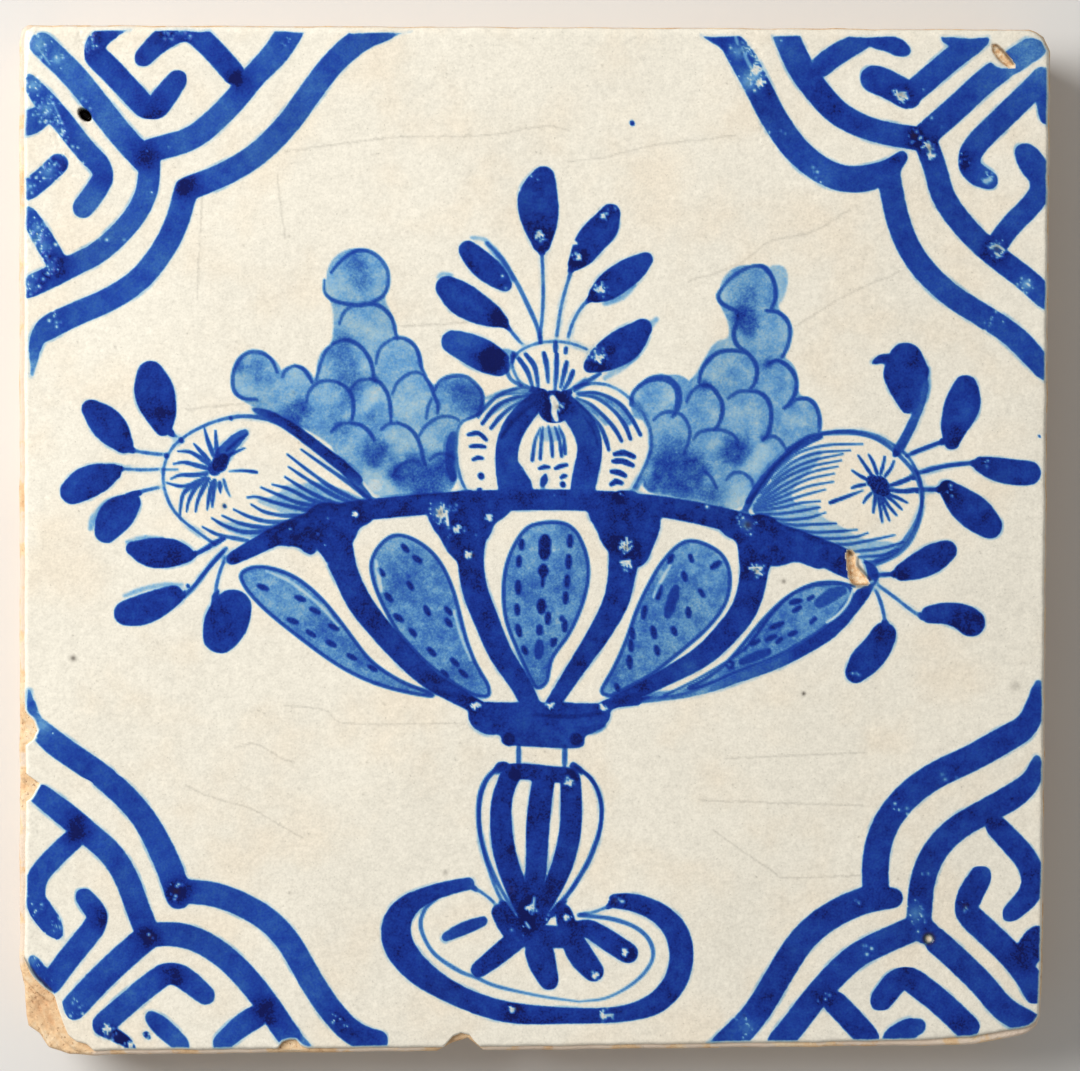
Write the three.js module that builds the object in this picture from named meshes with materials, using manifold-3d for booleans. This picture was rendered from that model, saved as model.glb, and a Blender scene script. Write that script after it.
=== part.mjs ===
// A hand-made tin-glazed wall tile: a fired clay slab, a white glaze layer and cobalt brushwork.
// Millimetres, +Z up, face up, with the tile's top edge towards +Y.

import * as THREE from 'three';
import { mergeVertices } from 'three/addons/utils/BufferGeometryUtils.js';
import Module from 'manifold-3d';

const wasm = await Module();
wasm.setup();

// Driving dimensions
const tileWidth = 129;
const tileHeight = 129;
const bodyThickness = 12;
const glazeThickness = 0.5;
const paintRelief = 0.2;

// The hand-cut slab is a little out of square
const topFall = 0.6;
const rightLean = 1;
const bottomRise = 1.4;
const undercut = 1.6;

// Bare clay left round the glaze, and bare glaze left round the paint
const glazeInsetLeft = 0.7;
const glazeInsetRight = 0.15;
const glazeInsetTop = 0.15;
const glazeInsetBottom = 0.5;
const paintInset = 0.2;
const brushGap = 0.15;

// Nail holes and chips
const nailHoleRadius = 0.75;
const nailHoleDepth = 3;
const nailHoleTaper = 0.6;
const shallowChip = 0.8;
const deepChip = 1.6;
const chipFloorShare = 0.7;

// Full widths of the brushes
const bandBrush = 2.7;
const wideBandBrush = 3.1;
const rightBandBrush = 2.9;
const diagonalBrush = 2.9;
const hookBrush = 2.5;
const barBrush = 2.3;
const rimBrush = 2.4;
const ribBrush = 2.7;
const stemBrush = 2.5;
const footBrush = 2.4;
const stalkBrush = 0.65;
const fineBrush = 0.6;

// How finely the outlines are cut into straight pieces
const strokeStep = 1.6;
const capSides = 5;
const discSides = 14;
const foldedShare = 0.985;

const bodyTop = bodyThickness;
const face = bodyThickness + glazeThickness;
const clearance = 1;

const clay = new THREE.MeshStandardMaterial({ color: 0xdcc0a4, roughness: 0.9 });
const glaze = new THREE.MeshStandardMaterial({ color: 0xf0e9d8, roughness: 0.2 });
const cobalt = new THREE.MeshStandardMaterial({ color: 0x20409a, roughness: 0.25 });
const deepCobalt = new THREE.MeshStandardMaterial({ color: 0x172f8a, roughness: 0.25 });
const lineBlue = new THREE.MeshStandardMaterial({ color: 0x3f6fb4, roughness: 0.25 });
const washBlue = new THREE.MeshStandardMaterial({ color: 0x7fb2dc, roughness: 0.25 });

// The pattern is drawn on a sheet in millimetres, x to the right and y down, and spread over the tile
const sheet = { left: 2.4, top: 3.1, width: 129, height: 129 };

function place([x, y]) {
  return new THREE.Vector2(
    ((x - sheet.left) / sheet.width - 0.5) * tileWidth,
    (0.5 - (y - sheet.top) / sheet.height) * tileHeight,
  );
}

// Solids

function solidFrom(geometry) {
  geometry.deleteAttribute('normal');
  geometry.deleteAttribute('uv');
  const merged = mergeVertices(geometry, 1e-5);
  return new wasm.Manifold(new wasm.Mesh({
    numProp: 3,
    vertProperties: new Float32Array(merged.attributes.position.array),
    triVerts: new Uint32Array(merged.index.array),
  }));
}

function slab(outline, bottom, thickness) {
  const geometry = new THREE.ExtrudeGeometry(new THREE.Shape(outline), {
    depth: thickness,
    bevelEnabled: false,
  });
  return solidFrom(geometry.translate(0, 0, bottom));
}

// A solid between two outlines of as many corners, both anticlockwise seen from above
function loft(lower, upper, bottom, top) {
  const count = lower.length;
  const positions = [];
  lower.forEach((corner) => positions.push(corner.x, corner.y, bottom));
  upper.forEach((corner) => positions.push(corner.x, corner.y, top));
  const faces = [];
  for (const [a, b, c] of THREE.ShapeUtils.triangulateShape(lower, [])) faces.push(c, b, a);
  for (const [a, b, c] of THREE.ShapeUtils.triangulateShape(upper, [])) {
    faces.push(a + count, b + count, c + count);
  }
  for (let i = 0; i < count; i += 1) {
    const next = (i + 1) % count;
    faces.push(i, next, next + count);
    faces.push(i, next + count, i + count);
  }
  const geometry = new THREE.BufferGeometry();
  geometry.setAttribute('position', new THREE.Float32BufferAttribute(positions, 3));
  geometry.setIndex(faces);
  return solidFrom(geometry);
}

function union(solids) {
  return solids.reduce((whole, solid) => whole.add(solid));
}

function meshFrom(name, solid, material) {
  const { vertProperties, triVerts } = solid.getMesh();
  const geometry = new THREE.BufferGeometry();
  geometry.setAttribute('position', new THREE.Float32BufferAttribute(vertProperties, 3));
  geometry.setIndex(new THREE.Uint32BufferAttribute(triVerts, 1));
  geometry.computeVertexNormals();
  const mesh = new THREE.Mesh(geometry, material);
  mesh.name = name;
  return mesh;
}

// The slab's four straight edges, moved in by the left, bottom, right and top insets
function edgeOutline(left, bottom, right, top) {
  const halfWidth = tileWidth / 2;
  const halfHeight = tileHeight / 2;
  const corners = [
    new THREE.Vector2(-halfWidth, halfHeight),
    new THREE.Vector2(-halfWidth, -halfHeight),
    new THREE.Vector2(halfWidth - rightLean, -halfHeight + bottomRise),
    new THREE.Vector2(halfWidth, halfHeight - topFall),
  ];
  const insets = [left, bottom, right, top];
  const lines = corners.map((start, i) => {
    const along = corners[(i + 1) % 4].clone().sub(start).normalize();
    const inward = new THREE.Vector2(-along.y, along.x);
    return { start: start.clone().addScaledVector(inward, insets[i]), along };
  });
  return lines.map((line, i) => {
    const previous = lines[(i + 3) % 4];
    const apart = previous.start.clone().sub(line.start);
    const reach = apart.cross(previous.along) / line.along.cross(previous.along);
    return line.start.clone().addScaledVector(line.along, reach);
  });
}

// Brush strokes and washes. Each makes its outline, grown by a margin where it cuts a neighbour.

function alongAt(samples, i) {
  const before = samples[Math.max(i - 1, 0)];
  const after = samples[Math.min(i + 1, samples.length - 1)];
  return Math.atan2(after.y - before.y, after.x - before.x);
}

function rim(sample, angle) {
  return new THREE.Vector2(
    sample.x + sample.z * Math.cos(angle),
    sample.y + sample.z * Math.sin(angle),
  );
}

// A stroke follows [x, y] or [x, y, width] points, and has the brush's width where none is given
function stroke(points, brush) {
  return (margin) => {
    const knots = points.map(([x, y, width = brush]) => {
      const spot = place([x, y]);
      return new THREE.Vector3(spot.x, spot.y, width / 2 + margin);
    });
    const curve = new THREE.CatmullRomCurve3(knots, false, 'centripetal');
    const count = Math.max(2, Math.ceil(curve.getLength() / strokeStep));
    const samples = curve.getSpacedPoints(count);
    const outline = [];
    samples.forEach((sample, i) => outline.push(rim(sample, alongAt(samples, i) - Math.PI / 2)));
    for (let i = 1; i < capSides; i += 1) {
      outline.push(rim(samples[count], alongAt(samples, count) + Math.PI * (i / capSides - 0.5)));
    }
    for (let i = count; i >= 0; i -= 1) {
      outline.push(rim(samples[i], alongAt(samples, i) + Math.PI / 2));
    }
    for (let i = 1; i < capSides; i += 1) {
      outline.push(rim(samples[0], alongAt(samples, 0) + Math.PI * (i / capSides + 0.5)));
    }
    const isOutside = (corner) => samples.every(
      (sample) => Math.hypot(corner.x - sample.x, corner.y - sample.y) > sample.z * foldedShare,
    );
    return outline.filter(isOutside);
  };
}

// A wash fills a closed outline, whose corners are rounded unless it is sharp
function wash(points, sharp = false) {
  return (margin) => {
    const knots = points.map(place);
    let corners = knots;
    if (!sharp) {
      const flat = knots.map((knot) => new THREE.Vector3(knot.x, knot.y, 0));
      const curve = new THREE.CatmullRomCurve3(flat, true, 'centripetal');
      const count = Math.ceil(curve.getLength() / strokeStep);
      corners = curve.getSpacedPoints(count).slice(0, count);
    }
    const turn = THREE.ShapeUtils.isClockWise(corners) ? 1 : -1;
    return corners.map((corner, i) => {
      const before = corners[(i + corners.length - 1) % corners.length];
      const after = corners[(i + 1) % corners.length];
      const angle = Math.atan2(after.y - before.y, after.x - before.x) + turn * Math.PI / 2;
      return rim(new THREE.Vector3(corner.x, corner.y, margin), angle);
    });
  };
}

// Discs grow with the pattern, so that the berries of a bunch keep touching
const discScale = Math.max(tileWidth / sheet.width, tileHeight / sheet.height);

function disc([x, y, radius]) {
  return (margin) => {
    const spot = place([x, y]);
    const centre = new THREE.Vector3(spot.x, spot.y, radius * discScale + margin);
    return Array.from({ length: discSides }, (_, i) => rim(centre, 2 * Math.PI * i / discSides));
  };
}

function layerOf(shapes, margin, bottom, thickness) {
  return union(shapes.map((shape) => slab(shape(margin), bottom, thickness)));
}

// Damage

// A chip's walls narrow from its outline on the face to a share of it on the floor
function chip(points, depth) {
  const outline = points.map(place);
  if (THREE.ShapeUtils.isClockWise(outline)) outline.reverse();
  const middle = outline.reduce((sum, corner) => sum.add(corner), new THREE.Vector2());
  middle.divideScalar(outline.length);
  const scaled = (share) => outline.map((corner) => corner.clone().lerp(middle, 1 - share));
  const spread = 1 + (1 - chipFloorShare) * clearance / depth;
  return loft(scaled(chipFloorShare), scaled(spread), face - depth, face + clearance);
}

function breakThrough(points) {
  return slab(points.map(place), -clearance, face + 2 * clearance);
}

function nailHole(point) {
  const spot = place(point);
  const hole = (radius) => Array.from({ length: discSides }, (_, i) => {
    return rim(new THREE.Vector3(spot.x, spot.y, radius), 2 * Math.PI * i / discSides);
  });
  return loft(
    hole(nailHoleRadius * nailHoleTaper),
    hole(nailHoleRadius),
    face - nailHoleDepth,
    face + clearance,
  );
}

const outside = -4;
const beyond = 138;

const damage = union([
  breakThrough([
    [2.4, 120.5], [3, 123.8], [3.1, 126.9], [3.4, 128.4], [4.8, 129.4], [5.9, 131.1],
    [8.3, 131.9], [11.6, 132.1], [11.6, beyond], [outside, beyond], [outside, 120.5],
  ]),
  breakThrough([[2.3, 5.2], [2.6, 3.8], [3.4, 3], [outside, outside]]),
  breakThrough([[128.8, 3.5], [129.4, 4], [130.7, 4.7], [131.4, 6.5], [beyond, 6.5], [128.8, outside]]),
  breakThrough([
    [130.4, 118], [130.1, 127.1], [129.6, 128.3], [128.1, 129.5], [125.8, 129.9], [121.3, 130.6],
    [121.3, beyond], [beyond, beyond], [beyond, 118],
  ]),
  breakThrough([
    [55.8, 131.8], [56.9, 129.9], [57.6, 129.6], [58.4, 129.8], [58.9, 130.4], [59.1, 131.5],
    [59.1, beyond], [55.8, beyond],
  ]),
  chip([
    [2.4, 120.5], [3.8, 122], [5.1, 123.3], [6.8, 124.6], [7.3, 126.4], [7.9, 128.1], [8.5, 129.5],
    [9.5, 130.3], [10.8, 130.6], [11.6, 131.9], [11.6, beyond], [outside, beyond], [outside, 120.5],
  ], deepChip),
  chip([[outside, 89.4], [2.5, 89.4], [4.2, 90.2], [4.6, 91.4], [4.1, 92.6], [outside, 92.8]], deepChip),
  chip([[outside, 97.2], [3.4, 97.4], [4.9, 97.9], [3.6, 100], [outside, 100.2]], shallowChip),
  chip([
    [123.9, 5.6], [126.5, 8.4], [125.3, 8.7], [124.3, 8.3], [123.5, 7.4], [123.7, 6],
  ], shallowChip),
  chip([
    [105.9, 69.6], [106.8, 68.8], [107.7, 70], [108.3, 71.3], [108.4, 72.7], [107.5, 73.6],
    [106.4, 73.1], [106, 71.2],
  ], shallowChip),
  chip([[35.2, 130.3], [37, 129.9], [37.6, 131], [37.3, beyond], [35.4, beyond]], shallowChip),
  nailHole([10.6, 14.4]),
  nailHole([116.1, 117.4]),
]);

// The slab and its glaze

const part = new THREE.Group();

const back = edgeOutline(undercut, undercut, undercut, undercut);
const clayBody = loft(back, edgeOutline(0, 0, 0, 0), 0, bodyTop).subtract(damage);
part.add(meshFrom('clay_body', clayBody, clay));

const glazeOutline = edgeOutline(glazeInsetLeft, glazeInsetBottom, glazeInsetRight, glazeInsetTop);
const tinGlaze = slab(glazeOutline, bodyTop, glazeThickness).subtract(damage);
part.add(meshFrom('tin_glaze', tinGlaze, glaze));

// The painting. Each new piece is cut back from those before it, and from the edges and chips.

const paintField = slab(
  edgeOutline(
    glazeInsetLeft + paintInset,
    glazeInsetBottom + paintInset,
    glazeInsetRight + paintInset,
    glazeInsetTop + paintInset,
  ),
  face,
  paintRelief,
).subtract(damage);
let paintedSoFar = null;

function paint(name, material, shapes) {
  let layer = layerOf(shapes, 0, face, paintRelief).intersect(paintField);
  if (paintedSoFar) layer = layer.subtract(paintedSoFar);
  part.add(meshFrom(name, layer, material));
  const cutter = layerOf(shapes, brushGap, face - clearance, paintRelief + 2 * clearance);
  paintedSoFar = paintedSoFar ? paintedSoFar.add(cutter) : cutter;
}

// The dish: rim, four ribs, collar and the thick right edge

paint('dish', deepCobalt, [
  stroke([
    [29, 69.9, 1.4], [31.3, 68.7, 1.8], [34.4, 67.1, 2.2], [37.5, 65.8, 2.4], [40.6, 64.9, 2.5],
    [43.8, 64], [47.6, 63.6], [57, 62.8], [63, 62.6], [72.6, 62.6], [82, 63.3], [89.9, 64.8, 2.6],
    [98.5, 67.5, 3], [105.4, 70.3, 3.2], [108.2, 71.9, 3.4],
  ], rimBrush),
  stroke([
    [40.8, 65.8, 6], [41.9, 68, 4.2], [43.1, 71.5, 3], [44.9, 75.3, 2.9], [47, 78.1], [50, 81.5, 2.5],
    [53.6, 84.9, 2.2], [60, 88.6, 1.6],
  ], ribBrush),
  stroke([
    [58.3, 64.3, 6], [58.6, 66.5, 4.6], [58.8, 69.9, 3.1], [59.3, 73.6, 3], [60.8, 77.6, 2.9],
    [62.6, 81.8], [64.9, 85.3, 2.4], [66.6, 88.6, 2.1],
  ], ribBrush),
  stroke([
    [78.3, 64.3, 6], [78.3, 66.5, 5], [78.1, 68.8, 3.9], [77.8, 71.4, 3.3], [77.1, 75, 3],
    [75.1, 78.9, 2.6], [72.4, 83, 2.1], [69, 88.2, 1.6],
  ]),
  stroke([
    [95, 67.3, 6], [94.5, 69, 4.6], [94.3, 71, 3.4], [94, 73.3, 3.2], [92.9, 76.5, 3],
    [90.6, 79.4, 2.8], [87.9, 82, 2.5], [82, 85.3, 1.8], [75.2, 88.6, 1.3],
  ]),
  stroke([
    [108.8, 72.6, 1.6], [107.9, 74.2, 1.5], [106.6, 75.9, 1.5], [104.1, 78.8, 1.5],
    [101, 80.9, 1.4], [96.9, 83.1, 1.3], [92.3, 84.8, 1.2], [89.1, 86.1, 1], [86, 86.9, 0.9],
    [81.8, 87.5, 0.8], [75.6, 88.2, 0.7],
  ]),
  wash([
    [58.5, 87.9], [76.3, 88.1], [76.1, 89.6], [75.6, 90.7], [74.2, 91.5], [72.9, 92], [73, 93.5],
    [70, 93.5], [64.8, 93.2], [62.8, 93.1], [62.8, 91.9], [60.9, 91.3], [59.5, 90.3], [58.5, 88.8],
  ], true),
]);

// The baluster stem with its two outlines, and the strokes round its root

paint('stem', deepCobalt, [
  stroke([[63.9, 96.5], [66, 96.5], [68.5, 96.8], [71.2, 97]], 1.8),
  stroke([
    [63.8, 96.9, 2.2], [62.8, 99.6, 2.3], [62.6, 102.4], [62.8, 105.2, 2.6], [63.4, 108, 2.6],
    [64.6, 111.2], [65.9, 115, 1.8],
  ], stemBrush),
  stroke([
    [68, 97.2], [67.5, 100.5, 2.7], [67.2, 103.7, 2.7], [67.1, 106.8], [66.9, 109.9, 2.4],
    [66.3, 113, 2], [66, 116.8, 1.8],
  ], stemBrush),
  stroke([
    [71.3, 97.4, 2.3], [71.4, 100.5], [71.3, 103.7], [70.7, 106.8], [69.6, 109.9, 2.3],
    [68, 113, 2], [66.4, 116, 1.6],
  ], stemBrush),
  stroke([
    [63.2, 95.7], [61.4, 96.8], [60.3, 98.7], [59.9, 101.5], [60, 104.3], [60.5, 106.8],
    [61.4, 109.6], [62.4, 112.1], [63.9, 114.4], [65.2, 115.8],
  ], stalkBrush),
  stroke([
    [71.6, 95.7], [73.3, 96.8], [74.7, 98.7], [75.2, 101.5], [75, 104], [74.1, 106.8],
    [72.8, 109.3], [71.1, 111.8], [69.3, 114], [67.4, 115.8],
  ], stalkBrush),
  stroke([[62.5, 114.1, 2], [64.3, 116.8], [66.5, 117, 2.7], [69, 117.2, 2.6], [71.5, 117.2]], footBrush),
  stroke([[64.8, 117.3], [62, 119.6, 2.2], [59.8, 121.3, 1.8]], footBrush),
  stroke([[67.3, 117.5, 3], [67.4, 119.2, 3.4], [67.8, 120.5, 3.2], [68.6, 122.6, 2.3]]),
  stroke([[70.4, 114.1, 1.9], [71.3, 116.9], [72.5, 119.4, 3], [74.2, 121.5]], footBrush),
  stroke([[72, 116.3, 2], [73.5, 116.1, 2.2], [75.5, 117.3], [78.5, 119.2]], footBrush),
]);
paint('foot_ring', deepCobalt, [
  stroke([
    [58.6, 110.5, 1.4], [55.5, 111.2, 1.6], [53, 112.1, 1.9], [50.8, 113.4, 2.7], [49.5, 115.6, 3.5],
    [49.7, 118, 3.6], [51.1, 120.2, 3.4], [53.3, 122.2, 3], [56.4, 124.1, 2.5], [59.6, 125.5],
    [63, 126.5], [66.4, 126.9, 2.2], [71.1, 127, 1.8], [75.5, 127, 1.7], [78.9, 126.6, 1.9],
    [82.1, 125.4, 2.5], [84.3, 123, 2.7], [85.2, 119.9, 2.8], [84.7, 116.8, 2.8], [83.3, 114.9, 2.5],
    [81.1, 113.5, 2.2], [78.3, 112.7, 1.9], [76.9, 112.7, 1.6],
  ], footBrush),
  stroke([[58.6, 110.7], [60.5, 111.8], [61.7, 112.8]], fineBrush),
  stroke([[76.9, 112.9], [74.3, 114.1], [72.6, 114.3]], fineBrush),
]);
paint('foot_drop', deepCobalt, [
  stroke([[60.4, 115.2, 1.2], [58, 116.1, 1.5], [55.7, 117.2, 1.1]]),
]);

// The fruit

paint('middle_fruit', cobalt, [
  stroke([[67.6, 49.6, 1.6], [64.9, 52.5], [63.6, 55], [63.3, 58.1], [63.9, 62]], rimBrush),
  stroke([[70.6, 50.4, 2], [73, 53.4], [73.8, 55.9], [73.3, 58.8], [72.6, 62]], ribBrush),
  disc([69.3, 50.9, 1.9]),
  stroke([
    [68, 49.4], [66.1, 48.4], [62.4, 49.4], [59.9, 51.9], [57.6, 52.8], [57, 56.5], [57.6, 60],
    [58.4, 61.6],
  ], fineBrush),
  stroke([
    [70.4, 49.6], [71.8, 48.4], [75.8, 48.1], [78.9, 50], [81.1, 53.1], [81.4, 56.3], [80.1, 59.4],
    [78.9, 61.6],
  ], fineBrush),
  stroke([
    [66.2, 48.6], [65, 47.9], [64.1, 46.3], [64, 44.8], [65.5, 43.6], [68, 42.8], [71.1, 42.9],
    [73.3, 43.7],
  ], fineBrush),
]);
paint('left_pear', lineBlue, [
  stroke([
    [46.3, 62.6, 1.1], [43.8, 59.6, 1.2], [40.6, 56.5, 1.1], [36.9, 54, 0.9], [33.8, 52.5, 0.8],
    [29.6, 52.1, 0.7], [25.9, 53.1], [23.1, 54.6], [21.3, 56.3], [20.4, 58.8], [20.7, 61.9],
    [22.1, 64.4], [24.6, 66.5], [26.9, 68.1],
  ], fineBrush),
]);
paint('right_pear', lineBlue, [
  stroke([
    [93.1, 64, 1], [94.4, 61.3, 1], [96.9, 58.1, 0.9], [99.8, 55.6, 0.8], [102.5, 54.4],
    [106, 53.9], [109.1, 54.3], [111.6, 55.6], [113.5, 57.1], [114.8, 59.4], [115.4, 61.9, 0.7],
    [114.9, 64.4, 0.7], [113.5, 67.1, 0.9], [111.9, 69, 1], [109.3, 70.3, 0.8],
  ], fineBrush),
]);

// Leaves on their stalks, each given by its widths from the outer end or from the stalk's end

paint('left_leaf_1', deepCobalt, [
  stroke([[18.8, 46.8, 3.2], [19.1, 48.4, 4.8], [19.7, 50.6, 4.5], [20.3, 52.5, 3.3], [20.4, 53.5, 2]]),
  stroke([[20.4, 53.5], [21.4, 54.2], [22.2, 54.8]], stalkBrush),
]);
paint('left_leaf_2', deepCobalt, [
  stroke([[11.4, 51.2, 2.3], [12.8, 52.5, 3.8], [14.4, 54.2, 3.7], [15.5, 55.6, 2.2]]),
  stroke([[15.5, 56], [16.4, 56.3], [18.4, 56.7], [20.8, 56.9]], stalkBrush),
]);
paint('left_leaf_3', deepCobalt, [
  stroke([[9.1, 61.5, 3.1], [10.6, 60.5, 3.9], [13.1, 59.5, 3.1], [14.1, 59.1, 2]]),
  stroke([[14.1, 58.6], [18.1, 58.8], [20.2, 58.7]], fineBrush),
]);
paint('left_leaf_4', deepCobalt, [
  stroke([[13.3, 66.4, 3], [14.2, 64.8, 4.2], [15.6, 63.6, 3.6], [16.5, 62.9, 2.1]]),
  stroke([[16, 62.1], [18, 61.4], [20.3, 60.9]], stalkBrush),
]);
paint('left_leaf_5', deepCobalt, [
  stroke([[16.6, 68.6, 1.6], [18.4, 69.1, 3.4], [20.3, 69.2, 3.6], [22.2, 69.2, 3.1], [23.4, 69.4, 1.7]]),
  stroke([[23.8, 69.6], [25, 69.1], [26.2, 68.5]], stalkBrush),
]);
paint('left_leaf_6', deepCobalt, [
  stroke([[15.8, 76.7, 3], [17.5, 76.4, 3.6], [19.7, 75.5, 3.3], [21.7, 74.5, 2.4]]),
  stroke([[21.9, 75], [23.6, 74], [25.6, 71.6], [27.9, 69]], stalkBrush),
]);
paint('left_leaf_7', deepCobalt, [
  stroke([[27.6, 79.4, 4.6], [28.2, 78, 5.4], [29.1, 76.1, 4.7]]),
  stroke([[26.7, 76.6], [27.2, 72.5], [28.1, 69.9]], stalkBrush),
]);
paint('top_leaf_1', deepCobalt, [
  stroke([[67.9, 22.3, 2.8], [67.2, 24.4, 4.8], [67.4, 26.9, 4.7], [67.6, 29.1, 3.5], [67.7, 30.5, 2.2]]),
  stroke([[67.7, 30.5], [67.9, 37.5], [67.5, 42.4]], stalkBrush),
]);
paint('top_leaf_2', deepCobalt, [
  stroke([[76.3, 26.8, 2.4], [75.6, 28.3, 3.5], [74, 30, 3.6], [72.6, 32.2, 2.7], [71.8, 33.1, 1.5]]),
  stroke([[71.6, 33.2], [70.2, 38.1], [69.5, 42.6]], stalkBrush),
]);
paint('top_leaf_3', deepCobalt, [
  stroke([[80.7, 32.5, 1.7], [79.3, 33.6, 3], [77.2, 35, 3.3], [75.5, 36.3, 3], [74.4, 37, 1.6]]),
  stroke([[74.4, 37], [73.3, 37.7], [71.6, 40.3], [70.9, 42.7]], stalkBrush),
]);
paint('top_leaf_4', deepCobalt, [
  stroke([[80.3, 41.1, 2.3], [78.6, 42.8, 4], [76.6, 44.1, 3.9], [74.6, 45.3, 2.8], [73.8, 45.8, 1.6]]),
]);
paint('top_leaf_5', deepCobalt, [
  stroke([[58.5, 31.3, 2.2], [59.9, 32.8, 3], [61.8, 34.4, 2.8], [63.1, 35.6, 1.7]]),
]);
paint('top_leaf_6', deepCobalt, [
  stroke([[55.9, 36, 2.8], [57.4, 37.2, 3.9], [59.6, 38.6, 3.6], [61.8, 39.7, 2.5], [63, 40.4, 1.2]]),
  stroke([[63, 40.4], [65.3, 43.2]], stalkBrush),
]);
paint('top_leaf_7', deepCobalt, [
  stroke([[56.6, 42.8, 2.8], [58.6, 43.6, 3.6], [60.8, 44.7, 3.8], [62.3, 45.5, 3.1]]),
]);
paint('right_leaf_1', deepCobalt, [
  stroke([[113.2, 45, 4.2], [113.2, 46.2, 5.6], [113.3, 48, 5], [113.4, 49.8, 3.4], [113.5, 50.7, 2]]),
  stroke([[114.8, 48.5], [115.2, 49.7], [113.8, 53.1], [112.5, 55.6]], stalkBrush),
]);
paint('right_leaf_2', deepCobalt, [
  stroke([[120.7, 48.5, 3], [120.5, 50.2, 4.3], [119.6, 52.5, 3.7], [119, 54.4, 2.6], [119, 55.3, 1.8]]),
  stroke([[119, 55], [117.7, 55.3], [115.4, 56.1], [114, 56.7]], stalkBrush),
]);
paint('right_leaf_3', deepCobalt, [
  stroke([[122.6, 58.1, 1.8], [124.1, 58.6, 2.7], [126.6, 59.1, 3], [128.6, 59.2, 2.9]]),
  stroke([[122.6, 57.9], [117.9, 58.4], [115.2, 59.2]], stalkBrush),
]);
paint('right_leaf_4', deepCobalt, [
  stroke([[118.4, 61.1, 2], [120.1, 62.8, 3.6], [122.1, 64.4, 4.1], [123.7, 65.8, 3.1]]),
  stroke([[118.2, 61.2], [116, 61.3]], stalkBrush),
]);
paint('right_leaf_5', deepCobalt, [
  stroke([[112.8, 71.6, 2], [114.8, 70.8, 3.1], [116.9, 69.7, 3.4], [118.3, 68.9, 2.5]]),
  stroke([[112.8, 71.8], [109.9, 71.9]], stalkBrush),
]);
paint('right_leaf_6', deepCobalt, [
  stroke([[116.2, 76.9, 2], [118.2, 76.7, 2.5], [120.4, 77.2, 3.1], [121.4, 77.9, 3.4]]),
  stroke([[116, 77.4], [114.5, 76.8], [112.6, 75.3], [109.6, 73.1]], stalkBrush),
]);
paint('right_leaf_7', deepCobalt, [
  stroke([[110.5, 79.4, 3], [109.6, 81.1, 3.4], [108, 82.8, 3.6], [107, 84.1, 2.6]]),
  stroke([[110.8, 79], [110.2, 75.6], [109.2, 73.3]], stalkBrush),
]);

// Top left corner

paint('top_left_outer_band', cobalt, [
  stroke([
    [52, 3.2, 0.8], [48, 4.1, 2], [45.3, 4.9], [41.8, 7.8], [38.9, 11.5], [35.9, 15.6],
    [31.9, 19.5], [27.4, 22.1], [23.3, 23.7],
  ], bandBrush),
  stroke([
    [23.3, 23.7], [22, 28.1], [20.3, 31.4], [17.5, 34.9], [13.8, 37.4], [9, 39.5], [5.5, 41.4],
    [4.4, 42.9, 1.4], [4.3, 44.9, 1.2], [4, 46.9, 0.6],
  ], bandBrush),
]);
paint('top_left_inner_band', cobalt, [
  stroke([
    [37.1, 2.6, 3], [34.4, 6.8, 3], [31.9, 9.4], [29.3, 12.6], [26.4, 15.5], [23.8, 17.4],
    [18.7, 18.9],
  ], bandBrush),
  stroke([
    [18.7, 18.9], [18.4, 23.8], [17, 26.8], [14.6, 29.6], [12, 31.8], [9.4, 33.1], [6.9, 34.4],
    [3, 36.2],
  ], hookBrush),
  stroke([[5.2, 5.6], [9, 9.3], [12.3, 13.3], [15.5, 17.3], [18.4, 20.4]], diagonalBrush),
  stroke([[3.4, 26.5, 1.6], [5, 29.3], [7.2, 33]], barBrush),
]);
paint('top_left_upper_hook', deepCobalt, [
  stroke([
    [16, 3.5, 0.8], [12.8, 4.6, 1.8], [11.6, 6.3], [14, 9], [16.9, 12.1], [19, 14], [20.6, 12.1],
    [22.2, 10, 2],
  ], hookBrush),
]);
paint('top_left_crook', deepCobalt, [
  stroke([
    [17.9, 7.3, 1.8], [20.3, 5], [23.4, 3.8], [25.6, 5.3], [28.5, 8.4], [30.1, 10.3],
  ], barBrush),
]);
paint('top_left_side_hook', cobalt, [
  stroke([
    [3.5, 10, 1.6], [5.6, 12.7], [8.1, 15.6], [10.6, 18.8], [13, 21.6], [11.9, 24], [10.4, 26],
  ], hookBrush),
]);
paint('top_left_side_bar', cobalt, [
  stroke([[7.3, 20.5], [5.4, 22.3], [3, 24.2]], barBrush),
]);

// Top right corner

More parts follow.
